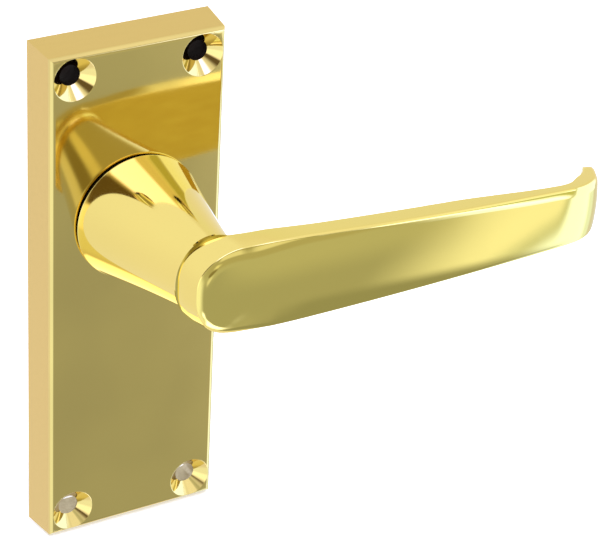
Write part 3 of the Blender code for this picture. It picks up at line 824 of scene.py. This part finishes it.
def add_neck():
    """The spigot and neck as one loft of rings, closed at both ends."""
    spigot = [
        (SPIGOT_RADIUS - SPIGOT_CHAMFER, SPIGOT_END),
        (SPIGOT_RADIUS, SPIGOT_END + SPIGOT_CHAMFER),
        (SPIGOT_RADIUS, NECK_FOOT),
    ]
    foot_centre = (NECK_FOOT_RADIUS - NECK_FOOT_ROUND, NECK_FOOT + NECK_FOOT_ROUND)
    foot = arc(foot_centre, NECK_FOOT_ROUND, DOWN, 0.0, NECK_FOOT_STEPS)[:-1]
    lines = []
    for i in range(NECK_STEPS):
        angle = math.tau * i / NECK_STEPS
        line = [(*polar(radius, angle), height) for radius, height in spigot + foot]
        lines.append(line + neck_line(angle))
    rings = [list(ring) for ring in zip(*lines)]
    return add_loft("neck", rings)


def build_lever(materials):
    half_socket = SOCKET_WIDTH / 2
    socket_low = (-half_socket, -half_socket, -OVERRUN)
    socket = add_block("socket", socket_low, (half_socket, half_socket, SOCKET_DEPTH))
    outside = SPIGOT_RADIUS + OVERRUN
    groove_outline = [
        (outside, GROOVE_HIGH),
        (outside, GROOVE_LOW),
        (GROOVE_RADIUS, GROOVE_LOW),
        (GROOVE_RADIUS, GROOVE_HIGH),
    ]
    groove = add_turned("groove", groove_outline)
    flats = []
    for side in (-1, 1):
        ends = sorted((side * SPIGOT_FLATS / 2, side * outside))
        low = (ends[0], -outside, -OVERRUN)
        flats.append(add_block("flat", low, (ends[1], outside, FLATS_TOP)))
    steps = [("UNION", [add_blade()]), ("DIFFERENCE", [socket, groove, *flats])]
    lever = combine("lever_casting", add_neck(), steps)

    def choose(centre, normal):
        """Machined on the spigot and in the socket, linished on the blade's back, else polished."""
        socket_wall = max(abs(centre.x), abs(centre.y)) < half_socket * SLACK
        if centre.z * SLACK < NECK_FOOT or (socket_wall and centre.z < SOCKET_DEPTH * SLACK):
            return 1
        if centre.z > BACK_FROM and normal.z < BACK_NORMAL:
            return 2
        return 0

    finish_piece(lever, "lever", "lever", materials, choose)


# Bush, washers, cam, circlip and spring


def build_neck_bush(material):
    """A sleeve in the plate's bore with a flange under the neck."""
    flange_low = PLATE_DEPTH - FLANGE_POCKET_DEPTH + FLANGE_CLEARANCE
    low, high = faces_of("neck_bush")
    outline = [
        (BUSH_FLANGE_RADIUS, high),
        (BUSH_FLANGE_RADIUS, flange_low),
        (BUSH_OUTER_RADIUS, flange_low),
        (BUSH_OUTER_RADIUS, low),
        (BUSH_INNER_RADIUS, low),
        (BUSH_INNER_RADIUS, high),
    ]
    bush = add_turned("neck_bush_moulding", round_corners(outline, MOULD_ROUND))
    finish_piece(bush, "backplate", "neck_bush", [material])


def build_washer(node, name, material):
    """A flat ring that turns with the lever."""
    low, high = faces_of(node)
    outline = [(WASHER_RADIUS, high), (WASHER_RADIUS, low)]
    outline += [(BUSH_INNER_RADIUS, low), (BUSH_INNER_RADIUS, high)]
    washer = add_turned(name, round_corners(outline, WASHER_ROUND))
    finish_piece(washer, "lever", node, [material])


def keyed_outline():
    """The cam's hole: the spigot's section with clearance all round."""
    half = SPIGOT_FLATS / 2 + (BUSH_INNER_RADIUS - SPIGOT_RADIUS)
    corner = math.acos(half / BUSH_INNER_RADIUS)
    outline = arc(CENTRE, BUSH_INNER_RADIUS, corner, math.pi - corner, KEY_STEPS)
    return outline + arc(CENTRE, BUSH_INNER_RADIUS, math.pi + corner, math.tau - corner, KEY_STEPS)


def cam_plate_outline(radius):
    """The cam's flat blank: a disc with an arm that has rounded corners."""
    side = math.asin(CAM_ARM_HALF_WIDTH / radius)
    outline = arc(CENTRE, radius, side, math.tau - side, CAM_STEPS)
    out = CAM_ARM_RADIUS - CAM_ARM_CORNER
    across = CAM_ARM_HALF_WIDTH - CAM_ARM_CORNER
    outline += arc((out, -across), CAM_ARM_CORNER, DOWN, 0.0, ARC_STEPS)
    outline += arc((out, across), CAM_ARM_CORNER, 0.0, RIGHT_ANGLE, ARC_STEPS)
    return turned(outline, CAM_ARM_ANGLE)


def build_drive_cam(material):
    """A pressed cam: its blank, the thicker hub on it and the upturned tab."""
    low, high = faces_of("drive_cam")
    edge = CAM_EDGE_ROUND
    outline = cam_plate_outline(CAM_HUB_RADIUS - CAM_HUB_STEP)
    blank = add_flat("blank", [outline], low, CAM_ARM_TOP, edge)
    hub_side = [
        (CAM_HUB_RADIUS - edge, low + 2 * edge),
        (CAM_HUB_RADIUS, low + 3 * edge),
        (CAM_HUB_RADIUS, CAM_HUB_HIGH - edge),
        (CAM_HUB_RADIUS - edge / 3, CAM_HUB_HIGH - edge / 3),
        (CAM_HUB_RADIUS - edge, CAM_HUB_HIGH),
    ]
    hub = add_round("cam_hub", hub_side)
    tab_low = (CAM_TAB_INNER_RADIUS, -CAM_TAB_HALF_WIDTH, low + edge)
    tab_high = (CAM_ARM_RADIUS - GAP, CAM_TAB_HALF_WIDTH, high)
    tab = add_block("tab", tab_low, tab_high, CAM_ARM_ANGLE, 2 * edge)
    hole = add_flat("keyed_hole", [keyed_outline()], low - OVERRUN, CAM_HUB_HIGH + OVERRUN)
    cam = combine("drive_cam_pressing", blank, [("UNION", [hub, tab]), ("DIFFERENCE", [hole])])
    finish_piece(cam, "lever", "drive_cam", [material])


def build_circlip(material):
    """An open ring, thicker opposite its gap, with an eyed ear at each end."""
    gap = CIRCLIP_GAP_ANGLE
    ear = gap + CIRCLIP_EAR_ANGLE
    inner = arc(CENTRE, CIRCLIP_INNER_RADIUS, DOWN - gap, DOWN + gap - math.tau, CIRCLIP_STEPS)
    offset = (0.0, CIRCLIP_OFFSET)
    outer = arc(offset, CIRCLIP_OUTER_RADIUS, DOWN + ear - math.tau, DOWN - ear, CIRCLIP_STEPS)
    ear_right = arc(CENTRE, CIRCLIP_EAR_RADIUS, DOWN + gap, DOWN + ear, ARC_STEPS)
    ear_left = arc(CENTRE, CIRCLIP_EAR_RADIUS, DOWN - ear, DOWN - gap, ARC_STEPS)
    outlines = [inner + ear_right + outer + ear_left]
    eye_distance = (CIRCLIP_INNER_RADIUS + CIRCLIP_EAR_RADIUS) / 2
    for side in (-1, 1):
        centre = polar(eye_distance, DOWN + side * (gap + ear) / 2)
        eye = arc(centre, CIRCLIP_EYE_RADIUS, 0.0, math.tau, CIRCLIP_EYE_STEPS)
        outlines.append(eye[:-1])
    low, high = faces_of("circlip")
    circlip = add_flat("circlip_ring", outlines, low, high, CIRCLIP_EDGE_ROUND)
    finish_piece(circlip, "lever", "circlip", [material])


def spring_fixed_angle():
    """Where the coil's fixed end lies: the moving end's angle and the turns back from it."""
    return CAM_ARM_ANGLE + SPRING_TURNS * math.tau


def spring_leg(angle, height, side):
    """Points from the coil's end outwards: a bend and then a straight radial leg."""
    leg = []
    centre = SPRING_COIL_RADIUS + SPRING_BEND_RADIUS
    for i in range(1, SPRING_BEND_STEPS + 1):
        bend = RIGHT_ANGLE * i / SPRING_BEND_STEPS
        out = centre - SPRING_BEND_RADIUS * math.cos(bend)
        leg.append((out, side * SPRING_BEND_RADIUS * math.sin(bend)))
    leg.append((SPRING_LEG_RADIUS, side * SPRING_BEND_RADIUS))
    return [(x, y, height) for x, y in turned(leg, angle)]


def spring_path():
    start = spring_fixed_angle()
    steps = round(SPRING_TURNS * SPRING_STEPS_PER_TURN)
    coil = []
    for i in range(steps + 1):
        share = i / steps
        x, y = polar(SPRING_COIL_RADIUS, start + (CAM_ARM_ANGLE - start) * share)
        drop = (SPRING_FIXED_HEIGHT - SPRING_MOVING_HEIGHT) * share
        coil.append((x, y, SPRING_FIXED_HEIGHT - drop))
    fixed_leg = spring_leg(start, SPRING_FIXED_HEIGHT, 1)
    moving_leg = spring_leg(CAM_ARM_ANGLE, SPRING_MOVING_HEIGHT, -1)
    return fixed_leg[::-1] + coil + moving_leg


def build_return_spring(material):
    """The spring's wire, which winds up between its leg on the plate and its leg on the cam."""
    curve = bpy.data.curves.new("return_spring_wire", "CURVE")
    curve.dimensions = "3D"
    curve.bevel_depth = SPRING_WIRE_RADIUS
    curve.bevel_resolution = SPRING_WIRE_STEPS
    curve.use_fill_caps = True
    add_spline(curve, spring_path())
    mesh = mesh_of(add_object("return_spring_wire", curve))
    clean(mesh, merge=True)
    spring = add_object("return_spring_wire", mesh)
    dress(mesh, [material], SPRING_SMOOTH_ANGLE)
    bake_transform(spring)
    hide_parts("return_spring")


# Materials


NOISE_SPAN = (0.3, 0.7)
EVEN = (1.0, 1.0, 1.0)


class Nodes:
    """Short ways to add and join nodes of one material or world."""

    def __init__(self, tree):
        self.tree = tree

    def fill(self, node, inputs):
        """Set a node's inputs to values, or join them to other nodes' sockets."""
        for name, value in inputs.items():
            if isinstance(value, bpy.types.NodeSocket):
                self.tree.links.new(value, node.inputs[name])
            elif value is not None:
                node.inputs[name].default_value = value

    def add(self, kind, inputs, **values):
        node = self.tree.nodes.new(kind)
        for name, value in values.items():
            setattr(node, name, value)
        self.fill(node, inputs)
        return node

    def noise(self, vector, scale, detail=3.0, roughness=0.5):
        inputs = {"Vector": vector, "Scale": scale, "Detail": detail, "Roughness": roughness}
        return self.add("ShaderNodeTexNoise", inputs).outputs["Fac"]

    def stretched(self, vector, scale):
        """The vector scaled differently along each axis."""
        inputs = {"Vector": vector, "Scale": scale}
        return self.add("ShaderNodeMapping", inputs).outputs["Vector"]

    def split(self, vector):
        return self.add("ShaderNodeSeparateXYZ", {"Vector": vector}).outputs

    def to_range(self, value, low, high, new_low, new_high):
        inputs = {"Value": value, "From Min": low, "From Max": high}
        inputs.update({"To Min": new_low, "To Max": new_high})
        node = self.add("ShaderNodeMapRange", inputs, interpolation_type="SMOOTHSTEP")
        return node.outputs["Result"]

    def math(self, operation, first, second=None):
        inputs = {0: first, 1: second}
        return self.add("ShaderNodeMath", inputs, operation=operation).outputs[0]

    def mix(self, share, first, second):
        """A colour between two, each a tuple or a socket."""
        node = self.add("ShaderNodeMix", {"Factor": share}, data_type="RGBA")
        for name, colour in (("A", first), ("B", second)):
            if isinstance(colour, tuple):
                colour = (*colour, 1.0)
            places = [i for i, s in enumerate(node.inputs) if s.name == name and s.type == "RGBA"]
            self.fill(node, {places[0]: colour})
        return next(s for s in node.outputs if s.type == "RGBA")

    def bump(self, height, strength, distance, normal=None):
        inputs = {"Height": height, "Strength": strength, "Distance": distance, "Normal": normal}
        return self.add("ShaderNodeBump", inputs).outputs["Normal"]


def new_material(name, metallic):
    """A material, its nodes, its Principled shader and the object's own coordinates."""
    material = bpy.data.materials.new(name)
    material.use_nodes = True
    nodes = Nodes(material.node_tree)
    shader = material.node_tree.nodes["Principled BSDF"]
    nodes.fill(shader, {"Metallic": metallic})
    place = nodes.add("ShaderNodeTexCoord", {}).outputs["Object"]
    return material, nodes, shader, place


def feed(nodes, shader, colour, roughness, normal):
    """Give a shader its colour, roughness and normal."""
    nodes.fill(shader, {"Base Color": colour, "Roughness": roughness, "Normal": normal})


def polished_brass(name, light_tone, dark_tone):
    """Mirror-polished brass with faint buffing lines, a little haze and uneven tone."""
    material, nodes, shader, place = new_material(name, 1.0)
    tone = nodes.to_range(nodes.noise(place, 35.0, 2.0), *NOISE_SPAN, 0.0, 1.0)
    haze = nodes.to_range(nodes.noise(place, 90.0, 4.0, 0.6), 0.35, 0.75, 0.055, 0.085)
    buffing = nodes.noise(nodes.stretched(place, (1.0, 1.0, 9.0)), 260.0, 2.0)
    waved = nodes.bump(nodes.noise(place, 28.0, 1.0), 0.35, 0.02 * MM)
    normal = nodes.bump(buffing, 0.08, 0.01 * MM, waved)
    feed(nodes, shader, nodes.mix(tone, light_tone, dark_tone), haze, normal)
    return material


def cast_brass():
    """Brass as it came from the mould: dull, uneven and slightly grey."""
    material, nodes, shader, place = new_material("cast_brass", 1.0)
    stain = nodes.to_range(nodes.noise(place, 120.0, 5.0, 0.6), 0.35, 0.7, 0.0, 1.0)
    colour = nodes.mix(stain, (0.62, 0.55, 0.40), (0.44, 0.37, 0.24))
    grain = nodes.noise(place, 1400.0, 3.0, 0.6)
    pitted = nodes.bump(nodes.noise(place, 500.0, 4.0), 0.7, 0.12 * MM)
    normal = nodes.bump(grain, 0.4, 0.05 * MM, pitted)
    feed(nodes, shader, colour, nodes.to_range(grain, *NOISE_SPAN, 0.42, 0.6), normal)
    return material


def zinc_plated_steel():
    """Bright zinc plating with a faint blue and yellow bloom."""
    material, nodes, shader, place = new_material("zinc_plated_steel", 1.0)
    bloom = nodes.to_range(nodes.noise(place, 60.0, 3.0), 0.35, 0.65, 0.0, 1.0)
    colour = nodes.mix(bloom, (0.66, 0.69, 0.74), (0.70, 0.69, 0.62))
    grain = nodes.noise(place, 900.0, 3.0)
    normal = nodes.bump(grain, 0.25, 0.02 * MM)
    feed(nodes, shader, colour, nodes.to_range(grain, *NOISE_SPAN, 0.2, 0.36), normal)
    return material


def grained(name, metallic, stretch, noise, tones, roughness, relief, extras={}):
    """A material whose tone, roughness and relief all follow one noise."""
    material, nodes, shader, place = new_material(name, metallic)
    grain = nodes.noise(nodes.stretched(place, stretch), *noise)
    normal = nodes.bump(grain, *relief)
    rough = nodes.to_range(grain, *NOISE_SPAN, *roughness)
    feed(nodes, shader, nodes.mix(grain, *tones), rough, normal)
    nodes.fill(shader, extras)
    return material


def shade_painted_bore():
    """Painted shade on the drilled wall of an upper screw hole: near-black, standing in for the dark
    hollow behind it.
    """
    tones = ((0.008, 0.004, 0.003), (0.022, 0.010, 0.006))
    look = ((1.0, 14.0, 1.0), (300.0, 2.0), tones, (0.5, 0.75), (0.5, 0.05 * MM))
    return grained("shade_painted_bore", 0.4, *look, {"Specular IOR Level": 0.1})


def satin_brass(name, light_tone, dark_tone, *roughness):
    """Brass linished but not buffed, deeper in colour than the polished face."""
    look = ((1.0, 6.0, 6.0), (150.0, 4.0, 0.6), (light_tone, dark_tone), roughness)
    return grained(name, 1.0, *look, (0.25, 0.02 * MM))


def ground_brass():
    """Brass linished flat, with fine straight scratches."""
    tones = ((0.80, 0.64, 0.30), (0.70, 0.55, 0.24))
    look = ((40.0, 1.0, 1.0), (90.0, 4.0, 0.7), tones, (0.22, 0.4), (0.4, 0.02 * MM))
    return grained("ground_brass", 1.0, *look)


def machined_brass():
    """Turned brass with fine tool marks round the spindle's axis."""
    tones = ((0.80, 0.63, 0.28), (0.72, 0.56, 0.25))
    look = ((1.0, 30.0, 1.0), (160.0, 3.0, 0.6), tones, (0.2, 0.34), (0.4, 0.02 * MM))
    return grained("machined_brass", 1.0, *look)


def black_nylon():
    """Moulded black nylon, slightly scuffed."""
    tones = ((0.012, 0.012, 0.013), (0.03, 0.03, 0.031))
    look = (EVEN, (400.0, 4.0, 0.6), tones, (0.38, 0.58), (0.3, 0.02 * MM))
    return grained("black_nylon", 0.0, *look)


def spring_steel():
    """Dark spring steel, uneven under a film of oil."""
    tones = ((0.30, 0.30, 0.31), (0.17, 0.165, 0.16))
    look = (EVEN, (700.0, 4.0, 0.6), tones, (0.24, 0.42), (0.3, 0.02 * MM))
    return grained("spring_steel", 1.0, *look, {"Coat Weight": 0.2, "Coat Roughness": 0.15})


# Studio


# A panel is only drawn where its own direction is at least this much ahead.
LEAST_AHEAD = 0.01
BASE_BLEND = 0.6
FLOOR_HALF_SIZE = 6.0
FLOOR_TONES = ((0.93, 0.93, 0.93), (0.95, 0.95, 0.95))
KEY_AZIMUTH = 35.0
KEY_ELEVATION = 60.0
KEY_DISTANCE = 1.6
KEY_SIZE = 0.8
KEY_ENERGY = 12.0
CAMERA_AZIMUTH = -31.68
CAMERA_ELEVATION = 29.58
CAMERA_ROLL = 3.16
CAMERA_DISTANCE = 596.0 * MM
CAMERA_TARGET = Vector((47.8, 0.0, -30.15)) * MM
CAMERA_LENS = 155.3
CAMERA_CLIP = (0.01, 50.0)


def view_direction(azimuth, elevation):
    """Towards azimuth and elevation in degrees: azimuth 0 is -Y and 90 is +X."""
    a = math.radians(azimuth)
    e = math.radians(elevation)
    return Vector((math.sin(a) * math.cos(e), -math.cos(a) * math.cos(e), math.sin(e)))


def direction_rotated(nodes, vector, axis, angle):
    inputs = {"Vector": vector, "Axis": axis, "Angle": angle}
    node = nodes.add("ShaderNodeVectorRotate", inputs, rotation_type="AXIS_ANGLE")
    return node.outputs["Vector"]


def panel_mask(nodes, direction, azimuth, elevation, half_width, half_height, blur):
    """1 inside a rectangular panel seen in a direction, and 0 outside. Sizes are in degrees."""
    turned = direction_rotated(nodes, direction, (0, 0, 1), -math.radians(azimuth))
    level = direction_rotated(nodes, turned, (1, 0, 0), math.radians(elevation))
    split = nodes.split(level)
    ahead = nodes.math("MULTIPLY", split["Y"], -1.0)
    safe = nodes.math("MAXIMUM", ahead, LEAST_AHEAD)
    mask = nodes.math("GREATER_THAN", ahead, LEAST_AHEAD)
    for axis, half in (("X", half_width), ("Z", half_height)):
        slope = nodes.math("ABSOLUTE", nodes.math("DIVIDE", split[axis], safe))
        angle = nodes.math("ARCTANGENT", slope)
        inner = math.radians(max(half - blur / 2, 0.0))
        outer = math.radians(half + blur / 2)
        side = nodes.to_range(angle, inner, outer, 1.0, 0.0)
        mask = nodes.math("MULTIPLY", mask, side)
    return mask


def disc_mask(nodes, direction, azimuth, elevation, radius, blur):
    """1 inside a round panel seen in a direction, and 0 outside. Sizes are in degrees."""
    inputs = {0: direction, 1: view_direction(azimuth, elevation)}
    dot = nodes.add("ShaderNodeVectorMath", inputs, operation="DOT_PRODUCT")
    angle = nodes.math("ARCCOSINE", dot.outputs["Value"])
    inner = math.radians(radius - blur / 2)
    return nodes.to_range(angle, inner, math.radians(radius + blur / 2), 1.0, 0.0)


def build_world():
    """Studio surroundings: a base colour with soft panels painted over it in order."""
    world = bpy.data.worlds.new("studio")
    world.use_nodes = True
    bpy.context.scene.world = world
    nodes = Nodes(world.node_tree)
    direction = nodes.add("ShaderNodeTexCoord", {}).outputs["Generated"]
    height = nodes.split(direction)["Z"]
    upper = nodes.to_range(height, -BASE_BLEND, BASE_BLEND, 0.0, 1.0)
    colour = nodes.mix(upper, *STUDIO_BASE)
    for shape, *place, light in STUDIO_PANELS:
        mask = shape(nodes, direction, *place)
        colour = nodes.mix(mask, colour, light)
    nodes.fill(world.node_tree.nodes["Background"], {"Color": colour, "Strength": 1.0})


def build_floor():
    """A wide pale floor under the plate, kept out of reflections."""
    mesh = bpy.data.meshes.new("floor")
    half = FLOOR_HALF_SIZE
    corners = [(-half, -half, 0.0), (half, -half, 0.0), (half, half, 0.0), (-half, half, 0.0)]
    mesh.from_pydata(corners, [], [(0, 1, 2, 3)])
    floor = add_object("floor", mesh)
    floor.location = (0.0, 0.0, cad_low.z)
    floor.visible_glossy = False
    material, nodes, shader, place = new_material("pale_floor", 0.0)
    feed(nodes, shader, nodes.mix(nodes.noise(place, 60.0), *FLOOR_TONES), 0.9, None)
    glow = {"Emission Color": (1.0, 1.0, 1.0, 1.0), "Emission Strength": 0.35}
    nodes.fill(shader, {"Specular IOR Level": 0.0, **glow})
    mesh.materials.append(material)


def build_camera():
    data = bpy.data.cameras.new("camera")
    data.lens = CAMERA_LENS
    data.clip_start, data.clip_end = CAMERA_CLIP
    camera = add_object("camera", data)
    back = view_direction(CAMERA_AZIMUTH, CAMERA_ELEVATION)
    turn = back.to_track_quat("Z", "Y").to_matrix().to_4x4()
    roll = Matrix.Rotation(math.radians(CAMERA_ROLL), 4, "Z")
    camera.matrix_world = Matrix.Translation(CAMERA_TARGET + back * CAMERA_DISTANCE) @ turn @ roll
    bpy.context.scene.camera = camera


def build_light():
    data = bpy.data.lights.new("key", "AREA")
    data.shape = "RECTANGLE"
    data.size = data.size_y = KEY_SIZE
    data.energy = KEY_ENERGY
    light = add_object("key", data)
    towards = view_direction(KEY_AZIMUTH, KEY_ELEVATION)
    light.location = towards * KEY_DISTANCE
    light.rotation_euler = towards.to_track_quat("Z", "Y").to_euler()
    light.visible_glossy = False


# Below and above, then panels painted over in order: shape, azimuth, elevation, sizes, blur, light.
STUDIO_BASE = ((0.99, 0.97, 1.0), (1.05, 1.05, 1.08))
STUDIO_PANELS = (
    (panel_mask, -2, -3, 36, 48, 14, (0.57, 0.59, 0.50)),
    (panel_mask, 5, 12, 30, 14, 14, (0.52, 0.51, 0.38)),
    (panel_mask, 10, 34, 22, 7, 8, (0.45, 0.43, 0.30)),
    (panel_mask, 6, 27, 11, 7, 6, (0.95, 0.95, 0.85)),
    (panel_mask, 5, -36, 35, 13, 16, (0.46, 0.48, 0.42)),
    (disc_mask, -60, -25, 31, 18, (1.15, 1.25, 1.3)),
    (disc_mask, -66, -6, 18, 8, (1.6, 1.6, 1.7)),
    (disc_mask, -6, 8, 5, 5, (0.95, 0.95, 0.75)),
    (disc_mask, -6, -17, 6, 6, (0.9, 0.93, 0.85)),
    (disc_mask, -9, -4, 6, 4, (0.30, 0.27, 0.15)),
    (panel_mask, -60, 34, 16, 22, 8, (0.16, 0.12, 0.07)),
    (panel_mask, -6, 62, 19, 8.5, 6, (2.3, 2.4, 5.5)),
    (panel_mask, 5, 49, 18, 5, 6, (1.15, 1.15, 1.15)),
    (disc_mask, 80, 5, 51, 7, (1.2, 1.25, 1.25)),
    (disc_mask, 79, -12, 47, 7, (1.2, 1.25, 1.25)),
    (panel_mask, 34, 7, 5, 14, 5, (1.3, 1.6, 2.8)),
    (panel_mask, 78, 16, 44, 28, 6, (2.4, 2.7, 4.4)),
    (panel_mask, 45, 15, 8, 25, 7, (0.68, 0.74, 0.42)),
    (disc_mask, 95, -8, 57.6, 2, (0.76, 0.83, 0.78)),
    (disc_mask, 95, -8, 55.8, 2, (1.4, 1.7, 2.6)),
    (panel_mask, 94, -30, 16, 12, 12, (1.0, 1.22, 1.5)),
    (panel_mask, 118, -27, 20, 18, 10, (0.80, 0.82, 0.85)),
    (panel_mask, 128, 15, 20, 40, 14, (0.95, 0.91, 0.86)),
    (panel_mask, 152, 34, 16, 13, 10, (0.94, 0.93, 0.84)),
    (panel_mask, -4, -53, 16, 9, 6, (2.4, 2.6, 3.6)),
    (panel_mask, 38, -53, 8, 13, 6, (0.36, 0.38, 0.32)),
)


def main():
    plate_brass = polished_brass("plate_brass", (0.81, 0.64, 0.235), (0.74, 0.585, 0.22))
    lever_brass = polished_brass("lever_brass", (0.87, 0.71, 0.22), (0.85, 0.70, 0.22))
    walls = satin_brass("wall_brass", (0.76, 0.55, 0.19), (0.73, 0.525, 0.175), 0.12, 0.2)
    back = satin_brass("back_brass", (0.68, 0.50, 0.085), (0.64, 0.46, 0.075), 0.3, 0.4)
    nylon = black_nylon()
    steel = spring_steel()
    zinc = zinc_plated_steel()

    # The third material paints shade into the upper screw bores.
    build_backplate([plate_brass, cast_brass(), shade_painted_bore(), ground_brass(), walls])
    build_lever([lever_brass, machined_brass(), back])
    build_neck_bush(nylon)
    build_washer("thrust_washer", "thrust_washer_moulding", nylon)
    build_washer("retaining_washer", "retaining_washer_disc", zinc)
    build_drive_cam(zinc)
    build_circlip(steel)
    build_return_spring(steel)

    build_floor()
    build_light()
    build_camera()
    build_world()
    bpy.context.scene.view_settings.view_transform = "Standard"


main()
